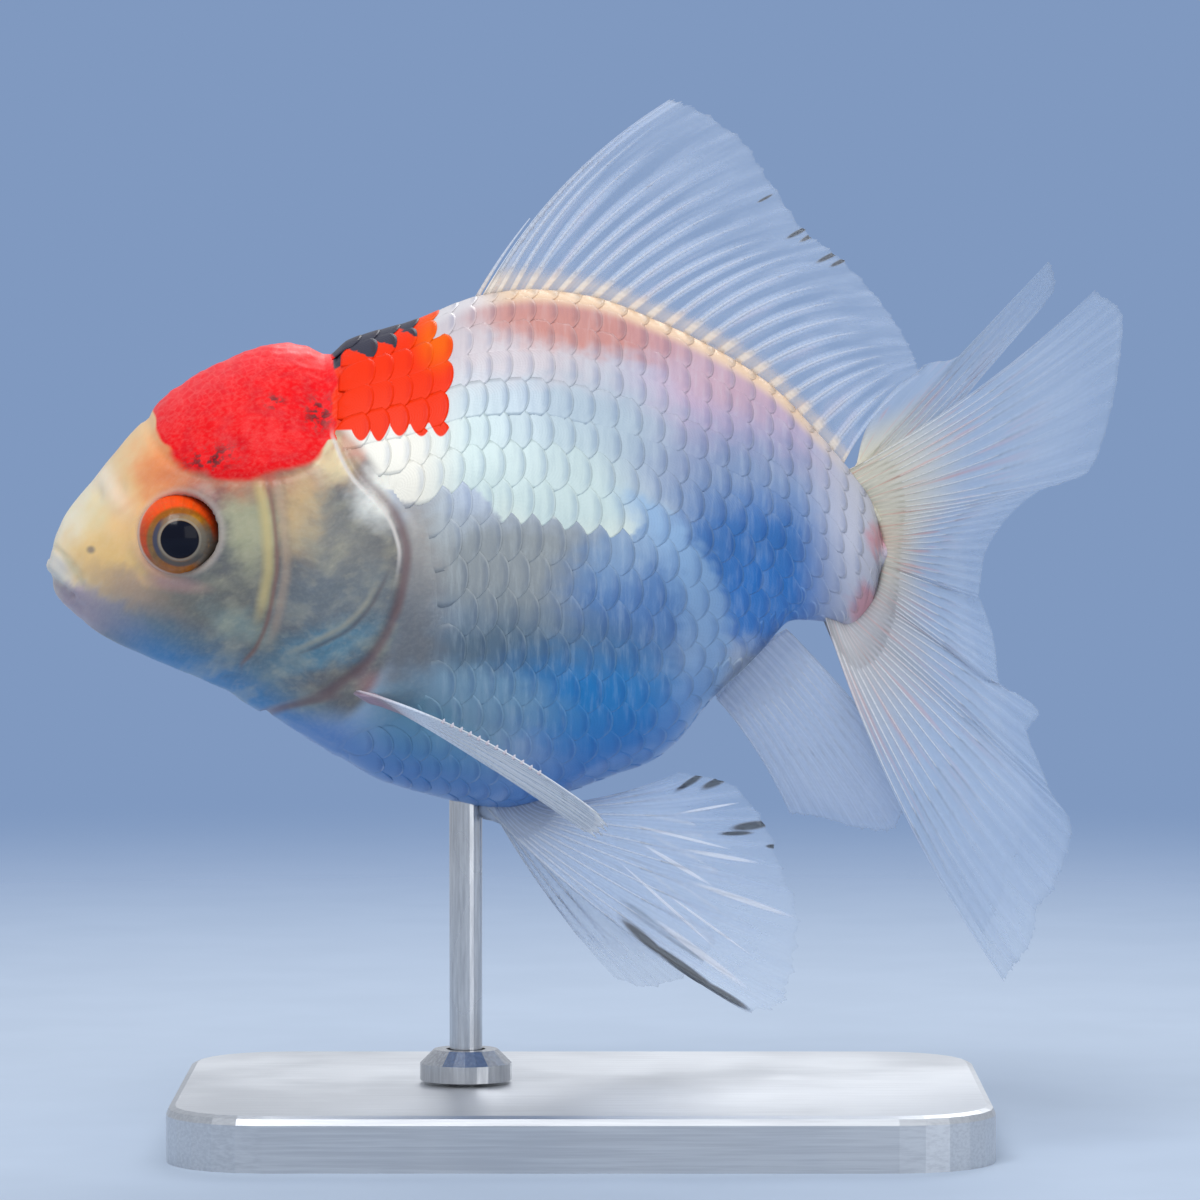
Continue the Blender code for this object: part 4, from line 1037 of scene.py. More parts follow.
PELVIC_RAYS_RIGHT = (
    (40.6, -23.2, 51.8, 12.0, -39.8, -0.7, 1.0), (41.2, -23.3, 55.0, 12.8, -40.8, -0.6, 1.2),
    (41.9, -23.3, 58.8, 13.2, -39.4, -0.5, 1.4), (42.6, -23.2, 61.1, 13.0, -36.2, -0.4, 1.5),
    (43.3, -23.1, 61.8, 12.2, -32.2, -0.3, 1.4), (44.0, -22.9, 60.8, 11.0, -27.9, -0.2, 1.2),
    (44.8, -22.7, 58.3, 9.0, -23.9, -0.3, 0.8), (45.6, -22.5, 54.7, 6.6, -22.0, -0.4, 0.4),
)
ANAL_RAYS = (
    (61.6, -13.4, 67.6, 4.6, -23.0, 0.4, 0.5), (62.9, -12.2, 70.4, 5.2, -23.3, 0.4, 0.6),
    (64.2, -11.0, 73.8, 5.6, -24.3, 0.4, 0.7), (65.5, -9.8, 76.6, 5.6, -24.6, 0.4, 0.7),
    (66.8, -8.4, 78.0, 5.0, -22.0, 0.3, 0.6), (68.2, -7.2, 77.4, 3.8, -17.8, 0.2, 0.4),
)
TAIL_UPPER_LEFT = (
    (74.2, 8.9, 95.0, 9.0, 24.5, -0.8, 0.6), (75.2, 7.6, 97.1, 11.6, 22.3, -0.7, 1.0),
    (76.0, 6.2, 96.3, 13.6, 15.6, -0.5, 1.6), (76.6, 4.8, 93.9, 13.6, 8.4, -0.3, 1.8),
    (76.9, 3.4, 89.9, 12.4, 6.7, -0.2, 1.7), (77.1, 2.0, 86.6, 11.2, 3.7, 0.0, 1.5),
    (77.1, 0.8, 84.8, 10.4, 0.4, 0.0, 1.3), (77.0, -0.72, 84.4, 10.2, -3.0, 0.0, 1.2),
)
TAIL_LOWER_LEFT = (
    (77.0, -0.74, 84.4, 10.2, -3.05, 0.0, 1.2), (76.7, -2.4, 85.8, 11.6, -7.4, 0.0, 1.4),
    (76.4, -3.5, 86.2, 12.8, -10.8, 0.0, 1.7), (75.9, -4.6, 89.6, 14.8, -13.5, 0.2, 1.9),
    (75.2, -5.7, 90.1, 16.6, -18.9, 0.2, 2.0), (74.4, -6.7, 92.3, 18.4, -23.3, 0.2, 2.0),
    (73.5, -7.4, 90.8, 19.4, -28.4, -0.2, 1.8), (72.5, -7.5, 88.4, 19.6, -34.0, -0.7, 1.4),
    (71.5, -7.2, 86.2, 19.0, -36.8, -1.3, 0.9),
)
TAIL_UPPER_RIGHT = (
    (73.9, 9.2, 79.8, 3.0, 17.1, 1.3, 0.4), (74.3, 8.7, 91.7, 6.0, 27.2, 0.0, 0.6),
    (75.2, 7.6, 92.4, 8.0, 25.4, -0.4, 0.9), (76.0, 6.2, 89.4, 10.0, 21.8, -0.3, 1.2),
    (76.6, 4.8, 86.2, 11.6, 18.4, -0.2, 1.4), (76.9, 3.4, 83.2, 12.8, 15.2, 0.0, 1.4),
    (77.1, 2.0, 81.8, 13.2, 10.6, 0.0, 1.3),
    (77.1, 0.8, 82.8, 13.0, 4.6, 0.0, 1.2), (77.0, -0.72, 84.6, 12.8, -2.1, 0.0, 1.2),
)
TAIL_LOWER_RIGHT = (
    (77.0, -0.74, 84.6, 12.8, -2.15, 0.0, 1.2), (76.7, -2.4, 85.2, 13.4, -7.0, 0.0, 1.4),
    (76.4, -3.5, 86.0, 14.2, -10.8, 0.0, 1.7), (75.9, -4.6, 88.8, 15.6, -13.6, 0.2, 1.9),
    (75.2, -5.7, 89.6, 17.0, -18.8, 0.2, 2.0), (74.4, -6.7, 91.2, 18.4, -23.4, 0.2, 2.0),
    (73.5, -7.4, 90.0, 19.2, -28.4, 0.0, 1.8), (72.5, -7.5, 88.2, 19.2, -33.4, -0.3, 1.4),
    (71.5, -7.2, 86.6, 18.4, -36.2, -0.6, 0.9),
)
KEEL_ROOT_Y = 2.0
TAIL_ROOT_Y = (0.75, 2.1)
TAIL_ROOT_Z = (8.9, -7.5)
FIN_LIFT = 0.65
WEB_THICKNESS = 0.14
RAY_SIDES = 6
FORKS = (0.50, 0.76)                      # where each ray forks, as a share of its length
ROOTED = -0.06                            # webs and rays start inside the flesh
FLESH_REACH = 0.20                        # share of the fin over which its fleshy root thins out


# How far the root of each kind of fin stands from the middle plane
def middle_root(x, z):
    return 0.0 * x


def keel_root(x, z):
    return KEEL_ROOT_Y + 0.0 * x


def skin_root(x, z):
    return half_width(x, z) + FIN_LIFT


def tail_root(x, z):
    share = (z - TAIL_ROOT_Z[0]) / (TAIL_ROOT_Z[1] - TAIL_ROOT_Z[0])
    return TAIL_ROOT_Y[0] + (TAIL_ROOT_Y[1] - TAIL_ROOT_Y[0]) * share


class Fan:
    """A fin's surface: place runs across the guide rays, t from the root to the margin."""

    def __init__(self, rays, root_y, side, ripple, seed, rooted):
        self.rows = [(place, *ray) for place, ray in enumerate(rays)]
        self.last = len(rays) - 1
        self.root_y = root_y
        self.side = side
        self.ripple = ripple
        self.seed = seed
        self.rooted = rooted

    def smooth(self, place, t):
        root_x, root_z, tip_x, tip_y, tip_z, bow, cup = (
            read(self.rows, place, column) for column in range(1, 8))
        root = np.stack((root_x, self.root_y(root_x, root_z), root_z), axis=-1)
        along = np.stack((tip_x, tip_y, tip_z), axis=-1) - root
        length = np.hypot(along[..., 0], along[..., 2])
        sideways = np.stack((-along[..., 2] / length, 0.0 * length, along[..., 0] / length), axis=-1)
        bend = sideways * bow[..., None] + cup[..., None] * np.array((0.0, 1.0, 0.0))
        point = root + along * t[..., None] + bend * (4.0 * t * (1.0 - t))[..., None]
        return point * (1.0, self.side, 1.0)

    def normal(self, place, t, step=0.02):
        return square_to(self.smooth(place, t + step) - self.smooth(place, t - step),
                         self.smooth(place + step, t) - self.smooth(place - step, t))

    def at(self, place, t):
        """A point of the softly rippled fin, and its normal."""
        place, t = np.broadcast_arrays(np.asarray(place, float), np.asarray(t, float))
        place = np.clip(place, 0.0, self.last)
        point = self.smooth(place, t)
        normal = self.normal(np.clip(place, 0.03, self.last - 0.03), t)
        wave = lumps(np.stack((place * 2.1, 3.0 * t, 0.0 * t), axis=-1), 5.0, self.seed)
        return point + normal * (self.ripple * wave * np.clip(t, 0.0, 1.0) ** 1.5)[..., None], normal


def side_spot(points):
    """Where points lie in the side view."""
    x, z = seen(points[..., 0], points[..., 1], points[..., 2])
    return np.stack((x, 0.0 * x, z), axis=-1)


def web_sheet(fan, ray_places, flesh, bare_edges, notch, cut, columns=7, rows=36):
    """The clear web: a closed thin sheet whose margin is scalloped between the ray ends.

    The flesh of its root thins out towards the edges named in bare_edges (first, last);
    cut gives how much of the rays' length the margin falls short: (place, share)."""
    draw = np.random.default_rng(fan.seed)
    stops = np.unique(np.clip(np.concatenate(((0.0,), ray_places, (fan.last,))), 0.0, fan.last))
    steps = np.linspace(0.0, 1.0, columns, endpoint=False)
    place, phase = [], []
    for low, high in zip(stops, stops[1:]):
        place.append(low + (high - low) * steps)
        phase.append(steps)
    place = np.concatenate(place + [[fan.last]])
    phase = np.concatenate(phase + [[0.0]])
    scallop = 0.55 * np.abs(np.sin(math.pi * phase)) + 0.45 * np.abs(np.sin(4.0 * math.pi * phase))
    scallop *= notch
    scallop *= draw.uniform(0.5, 1.3, len(place))
    scallop += np.interp(place, *zip(*cut))
    t = fan.rooted + (1.0 - scallop - fan.rooted)[None, :] * (np.linspace(0.0, 1.0, rows) ** 0.9)[:, None]
    spread = np.broadcast_to(place[None, :], t.shape)
    point, normal = fan.at(spread, t)
    sag = 0.10 * np.sin(math.pi * phase)[None, :] * np.clip(t, 0.0, 1.0)
    half = 0.5 * WEB_THICKNESS * (1.0 - 0.5 * np.clip(t, 0.0, 1.0))
    share = spread / fan.last
    fleshy = 1.0 - bare_edges[0] * fade(share, 0.16, 0.0) - bare_edges[1] * fade(share, 0.84, 1.0)
    half = half + 0.5 * flesh * fleshy * np.clip(1.0 - t / FLESH_REACH, 0.0, 1.2) ** 4
    near_ray = np.broadcast_to(np.abs(np.cos(math.pi * phase))[None, :], t.shape)
    return (point + normal * (sag + half)[..., None], point + normal * (sag - half)[..., None],
            side_spot(point), np.stack((share, t, near_ray), axis=-1))


def tube(path, normal, radius, flat=0.8):
    """Points of one tapering rod: rings of RAY_SIDES round a path."""
    tangent = np.gradient(path, axis=0)
    across = square_to(tangent, normal)
    up = square_to(across, tangent)
    turn = np.linspace(0.0, 2.0 * math.pi, RAY_SIDES, endpoint=False)
    return (path[:, None, :] + radius[:, None, None] * (
        across[:, None, :] * np.cos(turn)[None, :, None]
        + flat * up[:, None, :] * np.sin(turn)[None, :, None]))


def ray_rods(fan, ray_places, thick, fine, forks, spreads, end, steps=(18, 12, 12)):
    """Every ray as rods: one stem, two branches, then four; spreads are in gaps between rays."""
    draw = np.random.default_rng(fan.seed + 50)
    rods = []
    ray_places = np.asarray(ray_places, float)
    gaps = np.gradient(ray_places) if len(ray_places) > 1 else np.array((0.5,))
    for place, gap in zip(ray_places, gaps):
        first, second = (share + draw.uniform(-0.05, 0.05) for share in forks)
        tip = end - draw.uniform(0.0, 0.02)

        def lay(t, fork_one, fork_two):
            spread = fork_one * spreads[0] * fade(t, first, first + 0.75 * (1.0 - first))
            spread += fork_two * spreads[1] * fade(t, second, second + 0.9 * (1.0 - second))
            path, normal = fan.at(np.clip(place + gap * spread, 0.0, fan.last), t)
            share = np.clip(t, 0.0, 1.0)
            radius = thick * (1.0 - share) ** 0.8 + fine
            radius = radius * np.where(t > first, 0.72, 1.0) * np.where(t > second, 0.78, 1.0)
            rods.append((tube(path, normal, radius), t, place / fan.last))

        lay(np.linspace(fan.rooted, first + 0.02, steps[0]), 0.0, 0.0)
        for fork_one in (-1.0, 1.0):
            lay(np.linspace(first - 0.02, second + 0.02, steps[1]), fork_one, 0.0)
            for fork_two in (-1.0, 1.0):
                lay(np.linspace(second - 0.02, tip, steps[2]), fork_one, fork_two)
    return rods


def fin_mesh(name, rods, sheet):
    """Join the web and its rods into one piece, with what its material reads."""
    top, under, web_spots, web_facts = sheet
    points = [top.reshape(-1, 3), under.reshape(-1, 3)]
    quads, triangles = [sheet_faces(*top.shape[:2])], []
    spots = [web_spots.reshape(-1, 3)] * 2
    facts = [web_facts.reshape(-1, 3)] * 2
    web_faces = len(quads[0])
    count = 2 * len(points[0])
    for rod, t, place in rods:
        points.append(np.concatenate((rod.reshape(-1, 3), rod[[0, -1]].mean(axis=1))))
        quads.append(ring_quads(len(rod), RAY_SIDES) + count)
        triangles.append(end_fans(len(rod), RAY_SIDES) + count)
        spots.append(side_spot(points[-1]))
        run = np.concatenate((np.repeat(t, RAY_SIDES), t[[0, -1]]))
        facts.append(np.stack((np.full(len(run), place), run, np.ones(len(run))), axis=-1))
        count += len(run)
    quads, triangles = np.concatenate(quads), np.concatenate(triangles)
    piece = new_mesh(name, np.concatenate(points), quads, triangles)
    bony_faces = np.arange(len(quads) + len(triangles)) >= web_faces
    piece.data.polygons.foreach_set("material_index", bony_faces.astype(np.int32))
    note(piece, "spot", np.concatenate(spots))
    note(piece, "web", np.concatenate(facts))
    return piece


# Shared by all fins: their tint from cream at the root to clear blue-white, and black tips
tint, tint_given, tint_put, tint_tree = new_group(
    "fin tint", (("Web", "Vector", None), ("Spot", "Vector", None), ("Root", "Color", paint(226, 222, 204)),
                 ("Margin", "Color", paint(214, 228, 244)), ("Cream Reach", "Float", 0.35),
                 ("Flush", "Float", 0.0), ("Low Root", "Color", paint(226, 222, 204))),
    (("Colour", "Color"), ("Streak", "Float"), ("Along", "Float"), ("Near Ray", "Float"),
     ("Across", "Float"), ("Marked", "Float")))
web_across, web_along, near_ray = tint.parts(tint_given["Web"])
streaks = tint.noise(tint.joined(web_across * 38.0, web_along * 2.2), 1.0)
fin_z = tint.parts(tint_given["Spot"])[2]
fin_root = tint.mix(tint.between(fin_z, -6.0, 3.0), tint_given["Low Root"], tint_given["Root"])
fin_colour = tint.mix(tint.between(web_along, 0.0, tint_given["Cream Reach"]), fin_root, tint_given["Margin"])
flush_lines = tint.between(streaks, 0.52, 0.68) * tint.between(web_along, 0.75, 0.25)
fin_colour = tint.coat(fin_colour, (222, 130, 112), flush_lines * tint_given["Flush"])
# Black marks on the fins and their whitest streaks: (x, z, reach x, reach z, turn)
BLACK_TIPS = (
    (68.4, 29.9, 1.2, 0.20, -28), (69.4, 29.5, 1.0, 0.20, -28), (71.2, 27.7, 1.3, 0.22, -26),
    (72.2, 27.2, 1.0, 0.20, -26), (65.4, 33.0, 0.8, 0.12, -28), (61.0, -20.4, 1.5, 0.34, -24),
    (58.6, -20.4, 1.6, 0.26, -32), (57.6, -18.8, 1.0, 0.20, -18), (64.2, -24.4, 1.9, 0.40, -8),
    (62.8, -25.1, 1.5, 0.20, -2), (66.1, -26.3, 0.6, 0.20, 4), (54.4, -34.8, 2.8, 0.40, 40),
    (58.0, -37.5, 4.6, 0.44, 36), (61.6, -39.9, 2.8, 0.34, 31),
)
WHITE_STREAKS = (
    (59.6, -36.2, 5.0, 0.34, 37), (57.4, -28.0, 3.4, 0.20, 31), (63.4, -31.2, 4.6, 0.26, 19),
    (61.4, -27.2, 3.2, 0.20, 10), (56.4, -31.6, 5.4, 0.14, 42), (60.2, -33.4, 4.6, 0.12, 36),
    (57.6, -25.4, 4.4, 0.14, 14), (60.2, -22.8, 2.6, 0.12, -10),
)


def marks_over(colour, places, strength, tone):
    """Paint ovals over a fin's colour; also give where they lie."""
    ovals = [tint.oval(tint_given["Spot"], (x, z), (reach_x, reach_z), turn, 0.35)
             for x, z, reach_x, reach_z, turn in places]
    cover = reduce(Level.most, ovals) * strength
    return tint.coat(colour, tone, cover), cover


fin_colour, white_cover = marks_over(fin_colour, WHITE_STREAKS, 0.75, (236, 240, 250))
fin_colour, black_cover = marks_over(fin_colour, BLACK_TIPS, 0.94, (22, 22, 34))
for name, value in (("Colour", fin_colour), ("Streak", streaks), ("Along", web_along), ("Near Ray", near_ray),
                    ("Across", web_across), ("Marked", white_cover.most(black_cover))):
    tint.feed(tint_put[name], value)


def tinted_material(name, root, low_root, margin, cream_reach, flush):
    """A material with the fins' tint placed in it."""
    material, nodes = new_material(name)
    return material, nodes, use_group(
        nodes, tint_tree, Web=nodes.noted("web"), Spot=nodes.noted("spot"), Root=paint(*root),
        Low_Root=paint(*low_root), Margin=paint(*margin), Cream_Reach=cream_reach, Flush=flush)


def fin_materials(name, root, margin, cream_reach, clear, glow=0.3, flush=0.0, rods=(0.9, 0.5),
                  glow_end=1.0, lead=0.0, foot=0.0, low_root=None, rod_end=0.84):
    """Two finishes for one fin: the clear web, and the bony rays.

    clear is the web's cover at the root, half way and at the margin; glow is the cloudy
    band over each ray, which ends at glow_end; lead is the cover along the front edge and
    foot that next to the body; rods is the cover of the rays, which fade out by rod_end."""
    low_root = low_root or root
    webbing, nodes, tinted = tinted_material(name + " web", root, low_root, margin, cream_reach, flush)
    along, streak = tinted["Along"], tinted["Streak"]
    cover = nodes.between(along, 0.0, 0.5, clear[0], clear[1])
    cover = cover + nodes.between(along, 0.5, 1.0, 0.0, clear[2] - clear[1])
    cover = cover + nodes.between(streak, 0.4, 0.75, -0.04, 0.10)
    cloudy = nodes.between(tinted["Near Ray"], nodes.between(along, 0.0, 0.4, 0.66, 0.36), 1.0)
    cloudy = cloudy * (nodes.maths("SINE", along * 170.0) * 0.10 + 0.90)
    cover = cover + cloudy * nodes.between(along, glow_end, 0.2 * glow_end, 0.04, glow)
    cover = cover + nodes.between(tinted["Across"], 0.11, 0.01, 0.0, lead)
    cover = cover + nodes.between(along, 0.07, 0.0, 0.0, foot)
    nodes.finish(
        Base_Color=tinted["Colour"], Alpha=nodes.maths("ADD", cover.most(tinted["Marked"]), 0.0, clamp=True),
        Roughness=nodes.between(streak, 0.3, 0.8, 0.35, 0.55), Normal=nodes.bump(streak, 0.15, 0.06),
        Specular_IOR_Level=0.3, Subsurface_Weight=0.4, Subsurface_Radius=(0.001, 0.001, 0.001),
        Subsurface_Scale=1.0)

    pale_root, pale_low = ([0.5 * (part + 240) for part in tone] for tone in (root, low_root))
    bony, nodes, tinted = tinted_material(name + " rays", pale_root, pale_low, (226, 234, 246), cream_reach,
                                          0.6 * flush)
    along = tinted["Along"]
    joints = nodes.maths("SINE", along * 230.0)
    cover = nodes.between(along, 0.1, 0.9, *rods) * nodes.between(along, rod_end, rod_end - 0.24)
    nodes.finish(
        Base_Color=nodes.coat(tinted["Colour"], (150, 164, 190), nodes.between(joints, 0.55, 1.0, 0.0, 0.16)),
        Alpha=cover.most(tinted["Marked"] * 0.9), Normal=nodes.bump(joints, 0.4, 0.03),
        Roughness=nodes.between(tinted["Streak"], 0.3, 0.8, 0.4, 0.6), Specular_IOR_Level=0.3)
    return webbing, bony


def build_fin(name, node, rays, root_y, side, ray_places, materials, thick=0.20, fine=0.035,
              ripple=0.35, seed=1, flesh=0.9, extra_rods=(), forks=FORKS, spreads=(0.26, 0.13),
              end=0.84, notch=0.020, bare_edges=(0.0, 0.0), cut=((0.0, 0.0),),
              rooted=ROOTED):
    """Make one fin, dress it and let it stand for its solid."""
    fan = Fan(rays, root_y, side, ripple, seed, rooted)
    places = np.asarray(ray_places, float)
    rods = ray_rods(fan, places, thick, fine, forks, spreads, end)
    for make in extra_rods:
        rods += make(fan)
    piece = fin_mesh(name, rods, web_sheet(fan, places, flesh, bare_edges, notch, cut))
    for material in materials:
        piece.data.materials.append(material)
    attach(piece, "root")
    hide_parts(node)


def even_places(rays, number, first=0.08):
    """Ray places spread evenly over a fan, the first and last on its edges."""
    return np.linspace(first, len(rays) - 1.08, number)


DORSAL_BASES = (40.6, 41.6, 42.8, 44.2, 45.8, 47.3, 48.8, 50.6, 52.2, 53.8, 55.4, 57.1, 58.8, 60.5,
                62.1, 63.7, 65.1, 66.6, 67.9, 69.1, 70.4, 71.8)
SPINE_REACH = 0.80                        # shares of the fin's height
SHORT_SPINE_REACH = 0.30


def saw_spine(fan):
    """The stout first spine of the back, with its fine saw teeth and a short one before it."""
    rods = []
    t = np.linspace(ROOTED, SPINE_REACH, 190)
    path, normal = fan.at(0.14 + 0.0 * t, t)
    radius = 0.06 + 0.15 * (1.0 - np.clip(t, 0.0, 1.0))
    teeth = 0.07 * np.abs(np.sin(55.0 * t)) ** 3 * fade(t, 0.12, 0.2)
    rods.append((tube(path, normal, radius + teeth), t, 0.01))
    t = np.linspace(ROOTED, SHORT_SPINE_REACH, 20)
    path, normal = fan.at(0.0 * t, t)
    radius = 0.05 + 0.4 * np.clip(SHORT_SPINE_REACH - t, 0.0, 0.4)
    rods.append((tube(path - (0.4, 0.0, 0.0), normal, radius), t, 0.0))
    return rods


dorsal_places = np.interp(DORSAL_BASES, [ray[0] for ray in DORSAL_RAYS], range(len(DORSAL_RAYS)))
dorsal_finish = fin_materials("dorsal fin", (248, 234, 220), (204, 220, 244), 0.10, (0.14, 0.10, 0.15),
                              glow=0.56, flush=0.10, rods=(0.60, 0.06), glow_end=0.8, lead=0.45, foot=0.14)
build_fin("dorsal_fin_web", "dorsal_fin", DORSAL_RAYS, middle_root, 1, dorsal_places, dorsal_finish,
          thick=0.15, seed=21, flesh=0.5, extra_rods=(saw_spine,),
          forks=(0.60, 0.74), spreads=(0.15, 0.07))

side_finish = fin_materials("pectoral fin", (166, 144, 160), (246, 250, 255), 0.16, (0.95, 0.92, 0.80),
                            rods=(1.0, 0.8), rod_end=1.2)
low_finish = fin_materials("pelvic fin", (190, 204, 226), (190, 210, 238), 0.3, (0.50, 0.30, 0.14),
                           glow=0.25, rods=(0.6, 0.3))
rear_finish = fin_materials("anal fin", (176, 190, 214), (176, 194, 222), 0.3, (0.45, 0.40, 0.30),
                            glow=0.15, rods=(0.4, 0.2))
upper_finish = fin_materials("upper tail fin", (240, 234, 210), (176, 196, 224), 0.42, (0.85, 0.42, 0.22),
                             glow=0.20, flush=0.45, rods=(0.85, 0.12), low_root=(196, 196, 198))
lower_finish = fin_materials("lower tail fin", (240, 234, 210), (172, 194, 224), 0.45, (0.85, 0.45, 0.22),
                             glow=0.20, flush=0.3, rods=(0.95, 0.18), low_root=(196, 196, 198))


WARTS = (0.30, 0.72, 12)                  # first and last, as shares of the ray, and how many


def tubercles(fan):
    """The row of small white warts along the front ray of the pectoral fin."""
    rods = []
    for t in np.linspace(*WARTS):
        base, normal = fan.at(0.05, t)
        along = fan.at(0.05, t + 0.02)[0] - base
        out = np.array((-along[2], 0.0, along[0])) / np.hypot(along[0], along[2])
        run = np.linspace(0.0, 1.0, 5)
        path = base + out * (0.46 * run - 0.14)[:, None]
        radius = 0.22 * np.sqrt(np.clip(1.02 - run, 0.0, 1.0))
        rods.append((tube(path, np.broadcast_to(normal, path.shape), radius, flat=1.0), run * 0.1, 0.0))
    return rods


lift_x, lift_z = PECTORAL_RIGHT_LIFT
PAIRED_RAYS = {
    "left": (PECTORAL_RAYS, PELVIC_RAYS_LEFT, TAIL_UPPER_LEFT, TAIL_LOWER_LEFT),
    "right": (tuple((*ray[:2], ray[2] + lift_x, ray[3], ray[4] + lift_z, *ray[5:])
                    for ray in PECTORAL_RAYS),
              PELVIC_RAYS_RIGHT, TAIL_UPPER_RIGHT, TAIL_LOWER_RIGHT),
}
# Where the first upper tail ray stands, and how the web falls short of its tip: before the
# far blade there is only a low web
UPPER_FRONT = {
    "left": (0.08, ((0.0, 0.0),)),
    "right": (1.05, ((0.0, 0.0), (0.15, 0.15), (0.3, 0.27), (0.5, 0.39), (0.7, 0.46), (0.9, 0.46),
                     (1.03, 0.0))),
}
for number, (hand, side) in enumerate(HANDS):
    pectoral, pelvic, upper, lower = PAIRED_RAYS[hand]
    build_fin("pectoral_web_" + hand, "pectoral_fin_" + hand, pectoral, skin_root, side,
              even_places(pectoral, 13), side_finish, thick=0.16, ripple=0.15, seed=31 + number,
              extra_rods=(tubercles,), notch=0.05, flesh=0.4, end=0.95)
    build_fin("pelvic_web_" + hand, "pelvic_fin_" + hand, pelvic, keel_root, side,
              even_places(pelvic, 13), low_finish, thick=0.14, fine=0.03, ripple=0.5,
              seed=41 + number, flesh=1.4)
    build_fin("anal_web_" + hand, "anal_fin_" + hand, ANAL_RAYS, keel_root, side,
              even_places(ANAL_RAYS, 13), rear_finish, thick=0.08, fine=0.03, ripple=0.3, seed=51 + number)
    upper_first, upper_cut = UPPER_FRONT[hand]
    build_fin("tail_upper_web_" + hand, "tail_upper_" + hand, upper, tail_root, side,
              even_places(upper, 24, upper_first), upper_finish, thick=0.10, fine=0.025, ripple=0.4,
              seed=61 + number, flesh=0.3, notch=0.008, bare_edges=(0.9, 0.0), cut=upper_cut, rooted=-0.09)
    build_fin("tail_lower_web_" + hand, "tail_lower_" + hand, lower, tail_root, side,
              even_places(lower, 26), lower_finish, thick=0.10, fine=0.025, ripple=0.5,
              seed=71 + number, flesh=0.3, notch=0.012, bare_edges=(0.0, 0.9), rooted=-0.09,
              cut=((1.9, 0.0), (2.2, 0.03), (2.5, 0.0), (3.0, 0.0), (3.5, 0.10), (4.0, 0.0), (4.5, 0.03),
                   (4.8, 0.0), (6.1, 0.0), (6.4, 0.03), (6.8, 0.0)))

# ======== The display stand ========
# A flat aluminium plate with rounded corners and a satin brushed face, and a thin steel
# rod that stands in a turned collar and runs up into the belly, near the balance point.

wear, wear_given, wear_put, wear_tree = new_group(
    "brushed metal", (("Place", "Vector", None), ("Run", "Vector", (1.0, 40.0, 40.0)),
                      ("Bright", "Color", paint(226, 228, 230)), ("Dull", "Color", paint(176, 180, 184))),
    (("Colour", "Color"), ("Lines", "Float"), ("Smudge", "Float")))
lines = wear.noise(wear.vectors("MULTIPLY", wear_given["Place"], wear_given["Run"]), 90.0, 3.0, 0.6)
smudge = wear.noise(wear_given["Place"], 45.0, 3.0, 0.6)
rubbed = wear.between(lines * 0.7 + smudge * 0.3, 0.35, 0.65)
for name, value in (("Colour", wear.mix(rubbed, wear_given["Dull"], wear_given["Bright"])),
                    ("Lines", lines), ("Smudge", smudge)):
    wear.feed(wear_put[name], value)


def metal(name, run, bright, dull, smooth, rough, metallic):
    """A worked metal whose brush lines run one way."""
    material, nodes = new_material(name)
    worked = use_group(nodes, wear_tree, Place=nodes.add("TexCoord").outputs["Object"], Run=run,
                       Bright=paint(*bright), Dull=paint(*dull))
    nodes.finish(Base_Color=worked["Colour"], Normal=nodes.bump(worked["Lines"], 0.2, 0.03),
                 Roughness=nodes.between(worked["Smudge"], 0.3, 0.7, smooth, rough), Metallic=metallic)
    return material


plate_metal = metal("satin aluminium", (1.0, 40.0, 40.0), (212, 215, 219), (196, 199, 204), 0.32, 0.44, 0.85)
steel = metal("turned steel", (40.0, 40.0, 3.0), (214, 216, 219), (190, 192, 196), 0.22, 0.32, 1.0)
for node, material in (("stand_base", plate_metal), ("stand_rod", steel), ("stand_collar", steel)):
    for material_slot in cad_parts[node].material_slots:
        material_slot.material = material

# ======== The studio ========
# A plain pale floor that fades into an even backdrop, a large soft light above and in
# front of the fish's left side, a weaker one low on the right, and one behind.

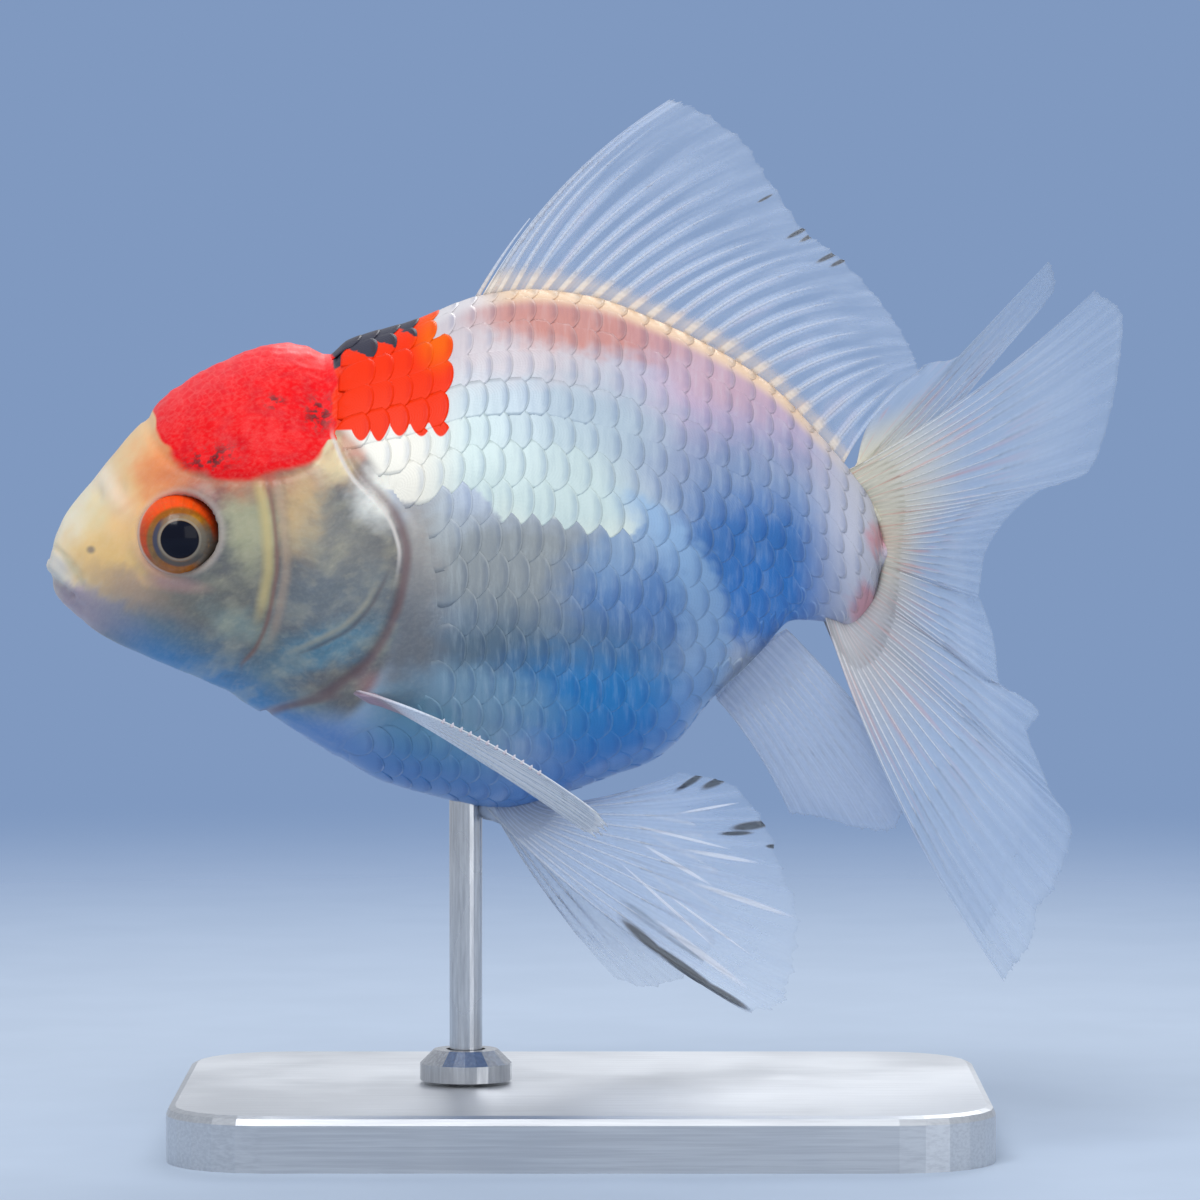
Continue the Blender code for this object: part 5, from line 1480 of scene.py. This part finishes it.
FLOOR_RADIUS = 4.0
BACKDROP = (128, 153, 192)
floor_count = 96
turn = np.linspace(0.0, 2.0 * math.pi, floor_count, endpoint=False)
floor_radii = (0.0001, 0.15, 0.4, 0.8, 1.5, 2.5, FLOOR_RADIUS)
floor_rings = np.array([[(r * math.cos(a), r * math.sin(a), 0.0) for a in turn] for r in floor_radii])
floor = new_mesh("floor", (floor_rings.reshape(-1, 3) - SNOUT) / MM,
                 ring_quads(len(floor_radii), floor_count)[:, ::-1])
floor_paint, on_floor = new_material("pale floor")
floor_place = on_floor.add("TexCoord").outputs["Object"]
paper = on_floor.between(on_floor.noise(floor_place, 60.0, 3.0), 0.3, 0.7)
on_floor.finish(Base_Color=on_floor.mix(paper, paint(184, 198, 216), paint(187, 201, 219)),
                Alpha=on_floor.between(on_floor.length(floor_place), 0.42, 0.07), Roughness=0.9,
                Specular_IOR_Level=0.1)
floor.data.materials.append(floor_paint)

world = bpy.data.worlds.new("studio")
bpy.context.scene.world = world
world.use_nodes = True
world_nodes = Nodes(world.node_tree)
backdrop = world.node_tree.nodes["Background"]
backdrop.inputs["Color"].default_value = paint(*BACKDROP)
room = world_nodes.add("Background", None, Color=paint(232, 238, 248), Strength=0.60)
camera_ray = world_nodes.add("LightPath").outputs["Is Camera Ray"]
world_mix = world_nodes.add("MixShader", None, Fac=camera_ray)
world_nodes.feed(world_mix.inputs[1], room.outputs[0])
world_nodes.feed(world_mix.inputs[2], backdrop.outputs[0])
world_nodes.feed(world.node_tree.nodes["World Output"].inputs["Surface"], world_mix.outputs[0])


def soft_light(name, place, aim, size, power, colour=(1.0, 1.0, 1.0)):
    """A square soft light aimed at a point."""
    lamp = bpy.data.lights.new(name, "AREA")
    lamp.size = size
    lamp.energy = power
    lamp.color = colour
    light = bpy.data.objects.new(name, lamp)
    light.location = place
    light.rotation_euler = (Vector(aim) - Vector(place)).to_track_quat("-Z", "Y").to_euler()
    bpy.context.scene.collection.objects.link(light)


AIM = Vector(to_world((VIEW_CENTRE[0], 0.0, VIEW_CENTRE[1])))
soft_light("key_light", AIM + Vector((-0.22, -0.55, 0.75)), AIM, 0.5, 4.4)
soft_light("fill_light", AIM + Vector((0.6, -0.6, 0.15)), AIM, 0.6, 1.2)
soft_light("back_light", AIM + Vector((0.15, 0.65, 0.6)), AIM, 0.5, 3.0)

camera_data = bpy.data.cameras.new("camera")
camera_data.lens = 196.8
camera_data.sensor_width = 36.0
camera = bpy.data.objects.new("camera", camera_data)
camera.location = AIM + VIEW_DISTANCE * MM * Vector((0.0, -math.cos(VIEW_TILT), math.sin(VIEW_TILT)))
camera.rotation_euler = (AIM - camera.location).to_track_quat("-Z", "Y").to_euler()
bpy.context.scene.collection.objects.link(camera)
bpy.context.scene.camera = camera
bpy.context.scene.view_settings.view_transform = "Standard"
bpy.context.scene.cycles.transparent_max_bounces = 24
